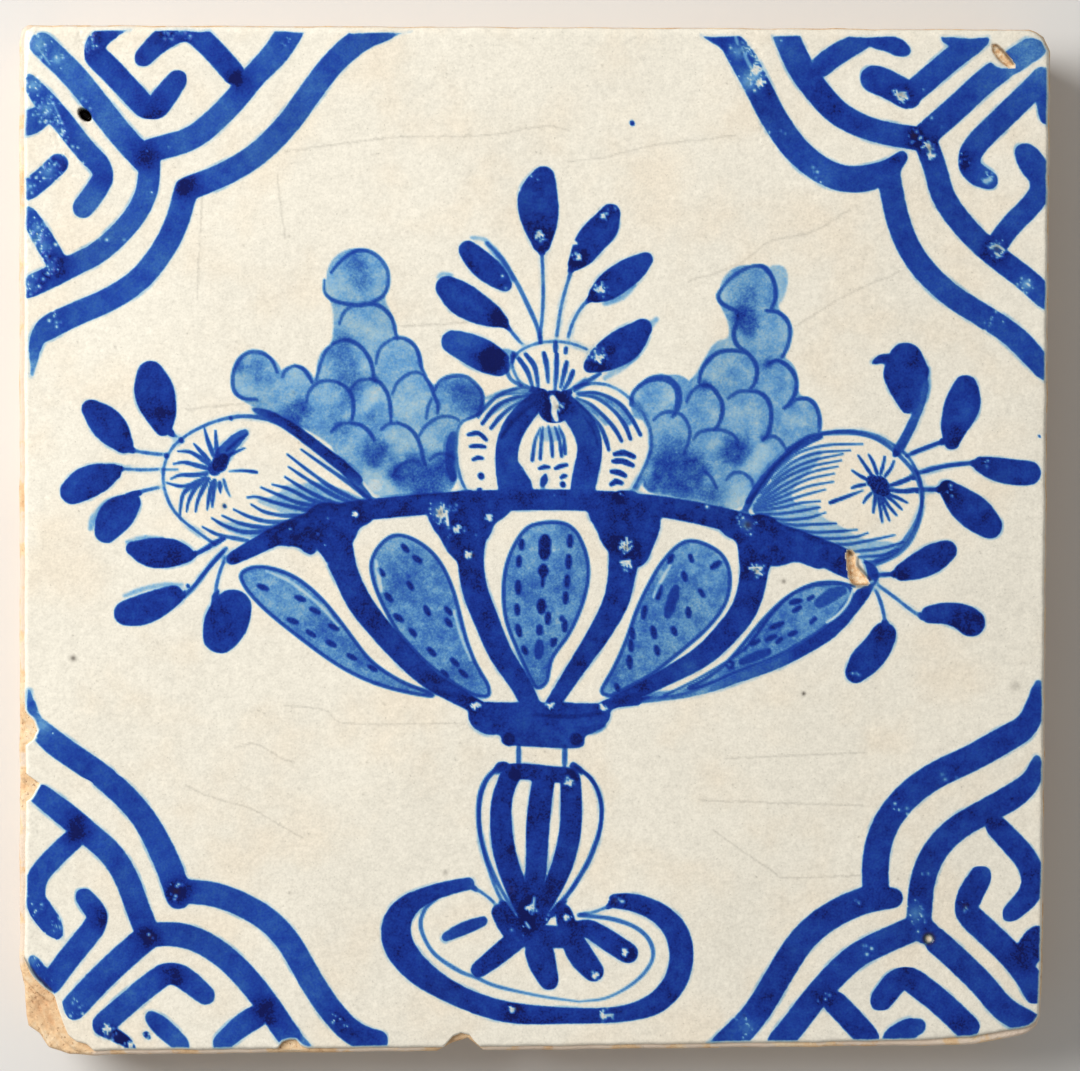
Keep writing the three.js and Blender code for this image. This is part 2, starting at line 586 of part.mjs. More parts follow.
paint('top_right_outer_band', deepCobalt, [
  stroke([
    [88.1, 4.4, 0.8], [90.9, 5, 2.4], [92.5, 6.9], [94.8, 11.1], [96.9, 15.1], [99.4, 18.6],
    [102.3, 21.1], [105.4, 22.4], [108.5, 22.3], [111, 21.3, 2.4], [112.7, 19.7, 1.4],
  ], wideBandBrush),
  stroke([
    [111, 21.5], [112.1, 27], [113.5, 30.8], [115.6, 33.9], [118.8, 36.9], [122.5, 39.3],
    [126, 41.5], [129, 44.4], [130.8, 46.8, 2],
  ], bandBrush),
]);
paint('top_right_inner_band', deepCobalt, [
  stroke([
    [98, 4, 3], [100, 8.4, 3.1], [101.9, 11.1, 3], [104.5, 14, 2.9], [107.9, 15.9], [111.1, 16.8],
    [115.6, 17.5],
  ], bandBrush),
  stroke([
    [115.6, 17.5], [116.9, 21.1], [117.9, 24.6], [119.9, 27.6], [122.4, 30.3], [125, 32.5],
    [128.4, 35.1], [131.4, 37.9],
  ], bandBrush),
  stroke([[115.8, 16.8], [119.8, 13.3], [123.4, 10], [126.8, 7.6], [129.4, 5.9]], diagonalBrush),
  stroke([
    [127.9, 19.1, 2], [129.5, 21.4], [130.2, 23.5], [128.8, 25.8], [126.5, 28.1], [124.2, 31.2],
  ], hookBrush),
]);
paint('top_right_upper_bar', cobalt, [
  stroke([[101, 10], [103.3, 7.8], [105, 6.6], [107.8, 5.2, 1.8]], barBrush),
]);
paint('top_right_upper_hook', deepCobalt, [
  stroke([[122, 5.1], [118.5, 7.8], [115.6, 10.3], [113.5, 12]], hookBrush),
  stroke([[113.5, 12], [111, 10.6], [109.2, 9.9]], wideBandBrush),
]);
paint('top_right_side_hook', deepCobalt, [
  stroke([
    [130.5, 9.7], [127.8, 12.4], [124.8, 15.3], [121.8, 18.4], [121, 20.4], [122, 21.8],
    [123.6, 22.6, 2],
  ], hookBrush),
]);

// Bottom left corner

paint('bottom_left_outer_band', cobalt, [
  stroke([
    [3.6, 86.5, 0.8], [4.2, 90.2, 2], [6.3, 92.5], [9, 94.5], [12.5, 96.9], [15.5, 99.5],
    [18, 102.4], [20, 106, 2.9], [21.5, 109.4, 3], [22.3, 112.2, 2.8],
  ], bandBrush),
  stroke([
    [22.6, 111.4], [26.9, 111.9], [30.6, 113.3], [33.9, 115.4], [36.4, 118.3], [38.5, 122],
    [40.8, 125.6], [43.3, 128.5], [45.3, 129.8], [47.3, 130.1, 2.2],
  ], bandBrush),
]);
paint('bottom_left_inner_band', cobalt, [
  stroke([
    [4.9, 99.3, 2.4], [7.6, 101.4], [11.1, 104.3], [13.9, 106.8], [15.8, 109.8], [17, 113],
    [18.5, 116.9],
  ], bandBrush),
  stroke([
    [18.5, 116.9], [22.5, 116.9], [25.6, 118], [28.6, 120.1], [31.3, 122.9], [33.9, 126.3],
    [35.6, 128.9], [38.4, 132],
  ], bandBrush),
  stroke([[18.5, 117.1], [15.1, 120], [12, 123], [9.2, 126]], diagonalBrush),
]);
paint('bottom_left_side_bar', cobalt, [
  stroke([[9.8, 104.4], [6.9, 107.1], [4.6, 109.9], [4.4, 112.5], [5.3, 114.7], [6.9, 116.4, 2]], barBrush),
]);
paint('bottom_left_side_hook', cobalt, [
  stroke([[10.5, 112.2, 2], [12.3, 114.8], [11, 116.9], [8.5, 120], [6.3, 123]], hookBrush),
]);
paint('bottom_left_lower_hook', cobalt, [
  stroke([
    [12.9, 128.1], [15.9, 125.5], [18.8, 123.1], [21.3, 121.6], [23.4, 122.6], [25.7, 124.5, 2.1],
  ], hookBrush),
]);
paint('bottom_left_lower_bar', cobalt, [
  stroke([[32.6, 126.8], [30.4, 128.1], [27.7, 130.4, 2]], hookBrush),
]);

// Bottom right corner

paint('bottom_right_outer_band', deepCobalt, [
  stroke([
    [129.8, 85.5, 1], [129.4, 88, 2], [128.4, 90.7, 2.8], [125.4, 92.6], [121.3, 94.9],
    [116.9, 97], [113.6, 99.4], [111.1, 102.4], [109.8, 105.6], [109.4, 108.8], [109.5, 112],
  ], wideBandBrush),
  stroke([
    [111.6, 112.3, 2.4], [108.5, 112.5], [106, 113.4], [103, 115.1], [100.4, 117.4], [98.5, 120.1],
    [96.6, 123.3], [94.4, 126.8], [91.5, 129.8], [88.8, 130.9, 1.4],
  ], wideBandBrush),
]);
paint('bottom_right_inner_band', deepCobalt, [
  stroke([
    [129.6, 94.9, 1], [129.1, 97.3, 2.2], [126.9, 99.4], [123.4, 101.4], [119.6, 103.6],
    [116.9, 106.4], [115.4, 109.9], [114.8, 115.7],
  ], rightBandBrush),
  stroke([
    [114.8, 115.9], [110.4, 117.8], [107.1, 119.5], [104.3, 122], [101.6, 125.1], [99.3, 128.1],
    [96.4, 131.6],
  ], rightBandBrush),
  stroke([[115, 115.9], [119.1, 119.5], [122.8, 123.1], [125.6, 126.3], [128.6, 128]], diagonalBrush),
]);
paint('bottom_right_side_hook', deepCobalt, [
  stroke([
    [122.6, 109.6, 2.2], [121.3, 111.9], [120.7, 113.8], [123.1, 116.3], [126, 119.1],
    [128.3, 121.9], [129.6, 124.2],
  ], hookBrush),
]);
paint('bottom_right_side_bar', deepCobalt, [
  stroke([
    [124, 102.8, 2], [126.5, 105.4], [128.7, 108.2], [129, 111.3], [126.3, 114.3, 1.6],
  ], barBrush),
]);
paint('bottom_right_lower_hook', deepCobalt, [
  stroke([[110.1, 125.1, 2.2], [112.8, 122.2], [115.6, 123.8], [118.5, 126.2], [121, 128.6]], hookBrush),
]);
paint('bottom_right_lower_bar', deepCobalt, [
  stroke([[103.2, 124.3], [105.6, 126.6], [107.8, 129], [109, 130, 1.8]], barBrush),
]);

// Washes: five lobes of the dish and two bunches of grapes

paint('dish_lobe_1', washBlue, [
  wash([
    [29.9, 71.8], [31.6, 70.9], [34.1, 71.1], [36.9, 72.2], [39.7, 74.4], [41.9, 76.9], [43.8, 79.4],
    [46.3, 82.6], [49.9, 85.1], [54.6, 87.1], [49.2, 86.2], [43.8, 84.1], [37.5, 79.8], [31.6, 74.7],
  ]),
]);
paint('dish_lobe_2', washBlue, [
  wash([
    [49.1, 66.9], [46.4, 70], [46.8, 73.1], [48.6, 77.1], [51.4, 81.3], [55.5, 84.6], [58.6, 86.7],
    [61.2, 87.2], [61.4, 86.5], [59.5, 83.1], [58.3, 80], [57.5, 76.9], [56.4, 73.1], [54.5, 69.6],
    [51.8, 67.5],
  ]),
]);
paint('dish_lobe_3', washBlue, [
  wash([
    [66.1, 65.8], [71.1, 65.6], [73, 68.4], [73.6, 71.5], [73, 75], [71.1, 79.4], [68.9, 82.5],
    [68.4, 85.4], [67.6, 86.3], [67, 86.2], [66.1, 84.4], [64.5, 80.9], [63.3, 77.8], [62.9, 74.4],
    [63.3, 70.6], [64.9, 67.1],
  ]),
]);
paint('dish_lobe_4', washBlue, [
  wash([
    [85.8, 67.6], [88.3, 68.1], [90.5, 69.6], [91.3, 72.1], [90.8, 75.3], [88.6, 78.4], [85.1, 81.5],
    [81.4, 84.4], [77, 86.9], [75, 87], [76.8, 83.4], [78.3, 80], [79.5, 76.5], [81.1, 73.1],
    [83, 70],
  ]),
]);
paint('dish_lobe_5', washBlue, [
  wash([
    [106.3, 73.3], [103.5, 73], [101, 73.4], [98.5, 74.6], [95.4, 77.5], [93.1, 80.3], [90.6, 83.1],
    [87.5, 85.3], [85.5, 86.3], [89.1, 85.5], [92.3, 84.3], [96.9, 82.8], [101, 80.5], [104.1, 78.4],
    [106.4, 75.6],
  ]),
]);
paint('left_grapes', washBlue, [
  [44.5, 34.8, 3.8], [45.6, 40.9, 3.8], [42.9, 46, 3.4], [49.8, 45.3, 3.1], [32.3, 47.1, 3],
  [36.9, 48.1, 2.5], [41.3, 50, 3.3], [46.3, 50.6, 3], [51.9, 50.6, 3], [56.4, 50, 2.6],
  [44.4, 55.6, 3], [50, 55.9, 3.2], [54.2, 55.2, 2.8], [49.4, 60, 3], [54.5, 59.6, 2.6],
].map(disc));
paint('right_grapes', washBlue, [
  [93.3, 36.5, 3.4], [95.5, 41.8, 3.3], [91.3, 46.5, 3.4], [96.8, 47.4, 3], [84.2, 49.6, 2.8],
  [87.8, 50.9, 2.6], [93.1, 52, 3], [98.4, 52.8, 2.8], [84.6, 54.6, 3], [89.4, 55.6, 3.2],
  [94.4, 56.4, 2.8], [86.3, 59.8, 3.2], [90.8, 60.4, 2.4],
].map(disc));

export default part;
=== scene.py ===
# A tin-glazed wall tile painted in cobalt blue: a rough clay slab, and the glaze coat that carries
# the painting. Lengths are in millimetres until a mesh is made, and meshes are in metres.

import math

import bpy
import numpy as np
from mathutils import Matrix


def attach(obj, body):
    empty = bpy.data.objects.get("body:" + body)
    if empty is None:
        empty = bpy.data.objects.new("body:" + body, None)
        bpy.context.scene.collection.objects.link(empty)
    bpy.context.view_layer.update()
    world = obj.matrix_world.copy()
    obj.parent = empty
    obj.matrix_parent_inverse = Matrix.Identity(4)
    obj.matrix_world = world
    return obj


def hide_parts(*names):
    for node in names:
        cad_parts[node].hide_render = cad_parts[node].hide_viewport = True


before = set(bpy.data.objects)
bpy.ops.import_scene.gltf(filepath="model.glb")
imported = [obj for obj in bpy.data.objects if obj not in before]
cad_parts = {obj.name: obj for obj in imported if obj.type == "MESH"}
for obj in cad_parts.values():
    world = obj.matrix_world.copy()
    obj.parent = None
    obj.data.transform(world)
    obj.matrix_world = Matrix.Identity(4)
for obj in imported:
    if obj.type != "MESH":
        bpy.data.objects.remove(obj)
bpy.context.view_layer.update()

METRE = 0.001
rng = np.random.default_rng(17)

# The sheet runs from the photograph's top left corner, x to the right and y down
SHEET_CENTRE = (66.9, 67.6)
TILE = 129

# Heights of the slab and of the glaze, and how far the slab's sides lean in towards the back
BODY_TOP = 12.0
FACE = 12.5
UNDERCUT = 1.6

# The glaze net: lines across and down, and how many of them one cell of its underside spans
GLAZE_LINES = 688
BACK_STEP = 8

# Share of the tile over which the shape of an edge fades out, and how far hand-cut edges wander
EDGE_REACH = 0.2
GLAZE_WANDER = 0.07
CLAY_WANDER = 0.09

# Edges of the fired clay, and the corners of the plain four-sided shape that they depart from
CLAY = {
    "corners": "2.7,3.65 130.5,4.6 128.9,129.6 3.4,131.9",
    "top": "2.7,3.65 3.4,3.12 60,3.34 128.8,3.68 129.6,4 130.5,4.6",
    "right": "130.5,4.6 131.35,6.4 130.45,118 130.1,127.1 129.6,128.3 128.9,128.95",
    "bottom": """
        3.4,128.4 4.8,129.4 5.9,131.1 8.3,131.9 11.6,132 55.6,131.5 56.9,129.9 57.6,129.6 58.4,129.8
        58.9,130.4 59.3,131.45 121.3,130.75 125.8,129.95 128.1,129.4 128.9,128.95""",
    "left": "2.7,3.65 2.35,5.2 2.4,120.5 3,123.8 3.1,126.9 3.4,128.4",
}

# Edges of the glaze, drawn in at the chips
GLAZE = {
    "corners": "3.2,3.9 130.3,4.8 128.7,129.2 3,131.4",
    "top": "3.2,3.9 4.2,3.35 60,3.5 128.6,3.85 129.5,4.15 130.3,4.8",
    "right": "130.3,4.8 131.15,6.5 130.25,118 129.9,127 129.4,127.9 128.7,128.4",
    "bottom": """
        3,119.9 3.8,121.9 5.1,123.3 6.8,124.6 7.3,126.4 7.9,128.1 8.5,129.5 9.5,130.3 10.8,130.6
        11.7,131.4 34.7,131.2 35.3,130.4 36.2,130.1 37,130.1 37.6,130.8 38.4,131.15 55.4,131 56.6,129.6
        57.6,129.2 58.7,129.5 59.3,130.3 60,130.95 112,130.2 121.3,129.75 125.8,128.95 128.1,128.6
        128.7,128.4""",
    "left": """
        3.2,3.9 2.95,5.2 3.05,60 3.05,88.8 3.3,89.3 4.2,90.2 4.6,91.4 4.1,92.6 3.2,93.2 3.2,96.8 4,97.4
        4.9,98 3.9,99.8 3.2,100.3 3,119.9""",
}

# Where the glaze broke off with a sharp edge: x, y and how far that reaches
BREAKS = [(6, 127, 8), (3, 91, 3.4), (3, 98.6, 3), (36.2, 131, 2.6), (57.7, 130.5, 3)]

# Where pins once held the tile: a deep slanting hole, its long and short half-axis, and a shallow dent
NAIL_HOLE = (10.6, 14.4)
HOLE_AXES = (0.95, 0.62)
HOLE_BURR = (10.1, 15.3)
NAIL_DENT = (116.1, 117.4)
HOLE_DEPTH = 2.6
DENT_DEPTH = 0.35

# Room that the coat's underside and the slab leave under the hole and under the two chips in the face
RIM_CHIP = (107.5, 70.7)
CORNER_CHIP = (124.7, 7.2)
UNDER_HOLE = 3
UNDER_CHIP = 1.2
BODY_HOLE = 3.4
BODY_CHIP = 1.3

# Level of the ink where there is none, and the width from which a brush line is a stroke of ink
NO_INK = -2.4
STROKE_WIDTH = 0.8

# Narrow gaps close, and thin parts of the solids are paler and finer than they are drawn
MERGE = 0.5
THIN_SHARE = 0.66
THIN_TRIM = 0.1
PEAK_REACH = 1.0

# Paint stops short of the edges, and of the upper one by two widths, at its left and further right
PAINT_MARGIN = 0.3
TOP_MARGIN = (0.5, 0.95)

# Half the width of a soft edge in each layer of the painting
SOFTNESS = {"line": 0.13, "wash": 0.22, "pale": 0.16, "dark": 0.16}

# Range of the washes, apart from the soft edges that fade to nothing
PALEST_WASH = 0.26
DARKEST_WASH = 0.7

# Pits: pits for each one that a table counts, lowest and highest size, paleness and depth, and the darker
# paint and pale haze round them, unless they are strewn wider than a radius or too few
# The paleness of the pits is partly the white glaze and partly painted highlight glints
PIT_SHARE = 1.4
PIT_SIZE = (0.08, 0.24)
PIT_PALENESS = (0.35, 1)
PIT_DEPTH = (0.03, 0.1)
PIT_POOL = 0.1
PIT_HAZE = 0.42
SCATTERED = 1.9
FEW_PITS = 7

# Scratches and painted highlight glints in a white star, and dark grains between two corners of the tile
SCRATCHES_AND_GLINTS = 7
SCRATCH_AND_GLINT_WIDTH = (0.22, 0.4)
GRAINS = 240
GRAIN_FIELD = ((4, 5), (129, 128))
GRAIN_SIZE = (0.07, 0.17)
GRAIN_DARKNESS = (0.12, 0.5)

# How far the paint stands proud
INK_BODY = 0.04
LINE_BODY = 0.02

# Rings of points down the slab's wall, the radius of its upper edge, and where its dips start and end
WALL_STEPS = 30
ARRIS = 0.45
ROOM_FOR_HOLE = (1.2, 2.8)
ROOM_FOR_RIM_CHIP = (2.6, 4.2)
ROOM_FOR_CORNER_CHIP = (1.4, 2.6)

# Parts of the sheet that details are placed in: where each starts, and its units to a millimetre
AREAS = {
    "sheet": (0, 0, 1), "photo": (0, 0, 8),
    "top_left": (0, 0, 32), "top": (43, 0, 32), "top_right": (86, 0, 32),
    "left": (0, 42.5, 32), "middle": (43, 42.5, 32), "right": (86, 42.5, 32),
    "low_left": (0, 84.875, 32), "foot": (43, 84.875, 32), "low_right": (86, 84.875, 32),
    "left_bunch": (28.125, 30.625, 48.25), "right_bunch": (77.75, 32.25, 48.25),
    "left_side": (7.5, 41.25, 36), "right_side": (92.5, 41.25, 22.5),
    "crown": (53.75, 20, 28.8), "fruit": (55, 47.5, 31.3),
    "left_lobes": (28.125, 62.5, 21.49), "right_lobes": (67.5, 61.25, 21.18),
    "stem": (47.5, 86.25, 22.5), "upper_right": (86.25, 1.875, 19.46),
    "corner_a": (0, 0, 24), "corner_b": (97.5, 0, 24), "corner_d": (0, 95, 24),
}

# How dark the strokes of the solids are, by the start of their names, and how much wider they are painted
TONES = {
    "top_left_outer": 0.72, "top_left_inner": 0.68, "top_left_upper": 0.8, "top_left_crook": 0.78,
    "top_left_side": 0.66, "top_right": 0.8, "bottom_left": 0.76, "bottom_right": 0.85,
    "dish": 0.89, "stem": 0.89, "foot": 0.88, "middle_fruit": 0.82, "left_pear": 0.92, "right_pear": 0.8,
    "left_leaf": 0.87, "top_leaf_7": 0.8, "top_leaf": 0.86, "right_leaf": 0.88,
}
WIDER = {
    "top_left_upper": 0.25, "top_left_crook": 0.25, "top_left": 0.12, "top_right_upper": 0.2,
    "top_right_side": 0.2, "bottom_left": 0.16, "bottom_right_lower": 0.32, "bottom_right_side": 0.32,
    "middle_fruit": 0.24, "left_pear": 0.0,
}
WASHES = {"dish_lobe": 0.46, "left_grapes": 0.36, "right_grapes": 0.38}

# Tables of the painting, read one by one. A row gives its area and numbers, and after the colon its places
# in that area. A bar parts lines, and a number such as 0.3>0.8 changes from a line's start to its end

# Whole washes under the bunches and in the fruit: darkness, outline
WASH_SHAPES = """
left_bunch 0.37: 60,720 110,660 190,645 270,690 330,790 400,735 470,745 525,830 560,760 620,620 655,560
  650,360 600,290 620,210 700,100 800,35 900,60 970,150 985,250 960,330 1000,400 1040,560 1130,600 1180,700
  1200,790 1265,860 1340,800 1420,790 1510,840 1568,900 1568,990 1520,1050 1410,1060 1385,1200 1380,1350
  1365,1500 1200,1520 950,1530 880,1500 780,1350 640,1210 500,1120 360,1060 240,1010 150,970 70,920 40,840;
right_bunch 0.39: 60,880 70,790 150,725 250,710 340,770 420,740 480,640 560,500 650,490 640,380 590,290
  570,230 650,120 790,40 900,45 940,200 940,310 1000,370 1025,450 970,600 1050,700 1060,830 1150,850
  1200,950 1190,1060 1060,1130 900,1290 760,1450 700,1540 400,1450 100,1420 150,1200 180,1080 100,930;
right_bunch 0.24: 860,45 1000,45 1000,200 940,310 880,250;
left 0.24: 1008,640 1104,628 1152,568 1260,592 1314,640 1314,712 1200,718 1080,676;
left 0.22: 840,718 960,736 1128,760 1008,802 912,772;
left 0.33: 1150,600 1250,560 1380,600 1480,650 1500,700 1300,710 1150,690 1080,640;
middle 0.4: 1145,262 1152,221 1175,193 1217,165 1273,160 1319,184 1333,225 1328,277 1314,309 1160,330;
right_side 0.26: 10,505 60,450 130,385 190,345 240,335 205,395 160,430 140,470 165,495 230,490 215,520
  290,555 350,595 440,595 430,625 375,650 300,612 200,575 100,535;
fruit 0.3: 385,190 470,180 480,235 440,245 385,240;
stem 0.42: 575,120 600,108 625,98 640,100 625,118 595,130
"""

# Ghosts of brush strokes beside the leaves and in the crown: width, darkness, lines
WASH_LINES = """
crown 0.8 0.32: 629,519 681,500 716,474 733,455 | 655,285 676,232 | 790,600 815,575 | 630,786 690,750
  745,705;
crown 0.9 0.36: 205,300 250,350 300,430 | 270,690 310,705;
crown 0.55 0.3: 150,281 195,288 216,303 | 28,424 46,412 78,416;
crown 0.5 0.42: 610,770 560,810 520,830 | 560,790 520,820 | 200,860 280,835 380,830;
left_side 0.9 0.3: 138,895 150,850 195,795 250,765;
left_side 0.6 0.32: 290,1198 380,1166 460,1150 550,1148;
left_side 0.5 0.3: 300,955 370,936 460,938 | 490,230 505,290 505,400;
right_side 0.8 0.32: 660,165 664,220 645,265 | 530,110 528,160 520,200;
left_lobes 0.7 0.45: 400,490 470,505 560,518 640,528;
right_lobes 0.9 0.44: 350,545 420,520 500,480 | 200,560 300,545 360,540;
fruit 0.8 0.4: 380,60 300,75 230,110 190,140 | 385,80 320,120 270,165;
fruit 0.8 0.42: 540,55 620,62 700,110 740,170 | 535,80 600,120 650,170;
fruit 1 0.4: 825,200 832,270 815,330 770,420;
sheet 1 0.4: 72.2,91.2 73.6,91.4 74.9,90.6
"""

# Outlines of the grapes: width, darkness, lines, as in all tables of brush lines
GRAPES = """
left_bunch 0.5 0.6: 600,215 602,290 650,335 740,360 830,365 900,345 960,300 985,240 980,160 940,90 880,45
  810,35 740,65 680,120 640,170 | 850,358 930,370 990,420 1020,480 1030,540 1040,570 | 1020,565 1080,565
  1140,605 1170,670 1185,740 1210,790 | 650,600 710,575 780,590 840,640 880,710 895,780 900,820 | 190,935
  120,930 65,900 45,840 50,770 80,700 130,655 180,645 240,660 290,710 315,770 | 420,730 465,745 500,785
  525,830 | 680,830 740,870 770,930 775,1000 765,1060 | 870,810 930,830 975,890 995,960 1000,1030 1000,1080
  | 1195,780 1240,850 1265,920 1285,960 1280,1020 | 1265,880 1290,830 1340,800 1400,790 1460,800 1520,850
  1550,900 1545,980 1520,1030 | 750,1075 820,1090 870,1130 900,1180 | 1040,1075 1100,1100 1150,1150
  1180,1220 1195,1290 1210,1330;
left_bunch 0.42 0.48: 690,480 715,415 760,375 850,350 | 910,720 925,650 960,600 1020,565 | 550,820 570,740
  600,660 650,600 | 345,800 370,755 420,730 | 490,950 505,890 550,840 610,820 680,830 | 760,870 800,825
  870,810 | 1010,900 1035,840 1090,790 1150,770 1210,790 | 640,1130 690,1085 750,1075 | 940,1120 980,1085
  1040,1075 | 1160,1180 1190,1120 1240,1070 1300,1040 1370,1040 1410,1060 | 1235,1300 1280,1265 1340,1265
  1380,1290 | 1010,1400 1050,1340 1110,1305 1170,1310 | 1215,1050 1222,990 1245,930;
right_bunch 0.54 0.62: 700,325 640,300 590,265 580,225 600,190 | 790,50 850,55 900,110 925,180 925,250
  900,310 | 700,350 690,400 675,450 680,500 705,540 760,580 800,630 815,690 800,760 775,790 | 870,320
  940,330 990,370 1015,430 1010,500 990,560 965,600 | 465,750 480,680 530,610 590,570 660,560 740,570 |
  885,640 930,620 980,640 1030,690 1055,760 1040,830 1010,880 980,910 | 470,770 530,775 580,830 605,890
  600,960 575,1020 555,1040 | 770,805 830,815 880,860 900,930 895,1010 875,1080 850,1100 | 1050,855 1110,850
  1160,880 1190,950 1195,1030 1185,1060 | 320,950 335,920 350,860 340,790 300,740 240,715 170,730 100,775;
right_bunch 0.44 0.5: 600,190 650,130 720,80 790,50 | 390,870 420,810 470,770 | 640,850 700,810 770,805 |
  1000,900 1050,855 | 75,800 60,840 60,890 | 190,980 240,940 300,930 360,950 400,1010 410,1070 390,1140
  370,1190 | 430,1100 460,1060 520,1040 600,1040 670,1070 700,1110 | 870,1080 920,1080 960,1110 985,1150 |
  630,1340 670,1300 730,1300 780,1340 790,1380 | 500,1290 540,1330 570,1390
"""

# The left pear: its hatching from the dark thin ends, its eye, and where the grapes meet it
LEFT_PEAR = """
left 0.34>0.66 0.78>0.56: 1205,440 1290,500 1390,570 1480,640 | 1150,460 1240,530 1340,600 1440,650 |
  1155,510 1230,560 1330,620 1400,650 | 1140,550 1220,600 1310,645 1380,665 | 1090,580 1160,600 1240,640
  1330,665 | 1045,592 1110,620 1200,655 1300,670 | 990,632 1030,630 1110,655 1220,680 1300,690 | 1005,660
  1060,690 1140,705 1230,705 | 848,715 900,745 980,770 1080,765 | 810,750 870,780 940,795 990,805;
left 0.36>0.74 0.78>0.56: 935,680 1000,710 1080,730 1190,730 | 890,705 960,735 1060,752 1150,745;
left_side 0.3>0.75 0.78>0.68: 650,445 665,500 690,565 | 700,455 703,510 708,565 | 603,515 630,545 668,590 |
  530,548 580,550 620,570 665,602 | 510,605 560,598 610,610 665,625 | 500,672 540,655 600,655 660,648 |
  480,690 540,705 590,698 655,668 | 540,835 545,780 562,730 630,680 | 570,820 580,770 612,710 650,675 |
  610,820 620,770 642,720 668,672 | 662,810 670,760 684,690 | 685,800 690,740 695,680 | 722,735 718,690;
left_side 0.3>0.5 0.55>0.6: 765,750 750,720 736,675;
left_side 0.25>0.5 0.8: 832,533 790,552 740,575 | 845,470 800,500 750,545;
left_side 0.9>1.7 0.66>0.78: 835,462 800,490 755,535 715,590;
left_side 0.25>0.5 0.62>0.9: 760,638 820,635 885,642;
left_side 0.32 0.5: 460,630 530,630;
left_side 0.45>0.78 0.6>0.84: 610,1008 690,965 738,940;
left_side 0.5>0.62 0.5>0.6: 560,1205 610,1150 690,1045 748,985;
sheet 0.3>0.85 0.7>0.85: 31.6,51.2 33.3,51.8 34.6,52.4;
sheet 0.85>0.95 0.85: 34.2,52.2 35,52.6 36.9,53.8 39.8,56.1 42.9,58.4 44.9,60.1
"""

# The right pear: its hatching fanned out from its left end, its eye and its outline
RIGHT_PEAR = """
right_side 0.44>0.3 0.52>0.72: 100,400 160,350 240,326 345,322 | 90,420 150,372 220,347 310,340 | 60,460
  130,402 200,370 290,350 | 50,480 120,422 200,386 285,368 | 40,495 120,440 200,402 275,385 | 40,500 120,456
  190,422 265,405 | 40,505 120,470 190,442 262,428 | 40,508 120,485 180,466 240,450 | 40,512 120,500 170,488
  225,483 | 45,518 110,518 160,512 225,500 | 55,525 120,535 190,530 240,515 | 90,540 150,550 210,548 270,545
  | 130,558 200,570 270,568 330,563 | 180,580 240,588 320,584 360,572 | 230,600 300,604 380,590 435,578 |
  320,625 400,615 460,598 | 335,640 400,635 445,618 | 350,655 390,650 430,638;
right_side 0.5>0.36 0.82>0.76: 372,412 350,380 333,355 | 386,407 375,375 362,352 | 395,407 403,380 407,358 |
  408,412 425,390 433,370 | 357,422 335,410 316,397 | 352,436 330,440 314,446 | 408,462 440,472 470,487 |
  404,464 430,482 455,506 | 399,466 415,492 440,522 | 394,468 406,502 420,537 | 388,468 394,502 400,542 |
  380,465 378,490 375,515 | 370,460 355,475 347,488;
right_side 0.5>0.7 0.8: 412,442 450,430 488,414 | 412,450 460,455 500,450;
right_side 0.3>0.6 0.72>0.88: 345,453 300,470 254,487;
right_side 0.6 0.6>0.5: 430,688 372,692;
right_side 0.85>0.5 0.84>0.5: 436,352 460,315 490,255 512,200 524,150;
right_side 0.25>1.1 0.9: 374,94 388,86 404,82 424,84;
right_side 0.55 0.62: 130,338 200,300 260,290 330,292 385,308 430,338 465,372 490,402 506,440 512,500;
right_side 0.5>0.75 0.56>0.5: 512,470 505,530 482,588 450,625 405,650 372,660;
right 0.75 0.74: 240,650 300,580 350,510 430,440 530,390;
right 0.55 0.56: 1015,410 875,465 | 1140,490 1000,510 890,545 | 1010,600 910,600
"""

# Hatching and touches of the middle fruit, from the pale ends to the dark ones
FRUIT = """
fruit 0.34>0.64 0.5>0.84: 390,57 290,72 220,106 166,172 | 390,67 300,96 242,140 200,190 | 382,80 322,130
  274,178 240,226 | 540,52 620,54 700,92 748,150 784,216 | 540,60 612,74 680,122 724,180 745,232 | 535,90
  580,130 625,180 650,238 660,275;
fruit 0.36>0.62 0.5>0.84: 535,72 590,97 650,152 688,200 710,240;
fruit 0.3>0.36 0.45>0.6: 560,140 600,200 618,262 | 380,50 240,62 180,100 150,150;
fruit 0.34>0.56 0.52>0.82: 392,190 372,240 361,316 | 402,186 396,250 392,310 | 424,182 436,240 440,300 |
  450,186 468,240 476,300 | 465,182 484,230 489,290;
fruit 0.56 0.88: 390,348 408,342 425,343 | 452,348 475,338 495,334 | 120,262 150,260 176,264 | 130,313
  148,306 165,308 | 110,216 150,210 181,236 | 475,384 484,378 492,377 | 150,432 158,430;
fruit 0.72 0.88: 684,292 720,287 758,302 | 678,320 715,320 754,336 | 672,360 700,364 724,376 | 670,410
  688,399 710,405;
fruit 0.5>0.85 0.9: 412,374 408,392 401,412;
fruit 0.8>1.6 0.82: 295,330 316,385 340,430;
fruit 0.9 0.62: 50,215 40,300 50,390;
middle 0.5 0.62: 1145,262 1152,221 1175,193 1217,165 1273,160 1319,184 1333,225 1328,277 1314,309
"""

# The crown of the fruit, each stalk from its pale upper end
CROWN = """
crown 0.5>0.62 0.46>0.64: 205,300 260,360 310,440 350,520 385,600 397,655;
crown 0.72>0.5 0.8>0.6: 345,702 375,742 386,790 390,830 | 410,697 420,742 425,802 | 456,702 455,762 450,830
  | 492,730 480,782 470,820 | 515,762 500,800 480,830 | 320,717 350,762 370,820 | 300,700 296,730;
crown 0.7 0.74: 397,640 397,658 | 452,660 452,690 | 490,680 488,695;
crown 0.5 0.55: 272,745 290,790 330,815 | 520,832 560,800 612,772
"""

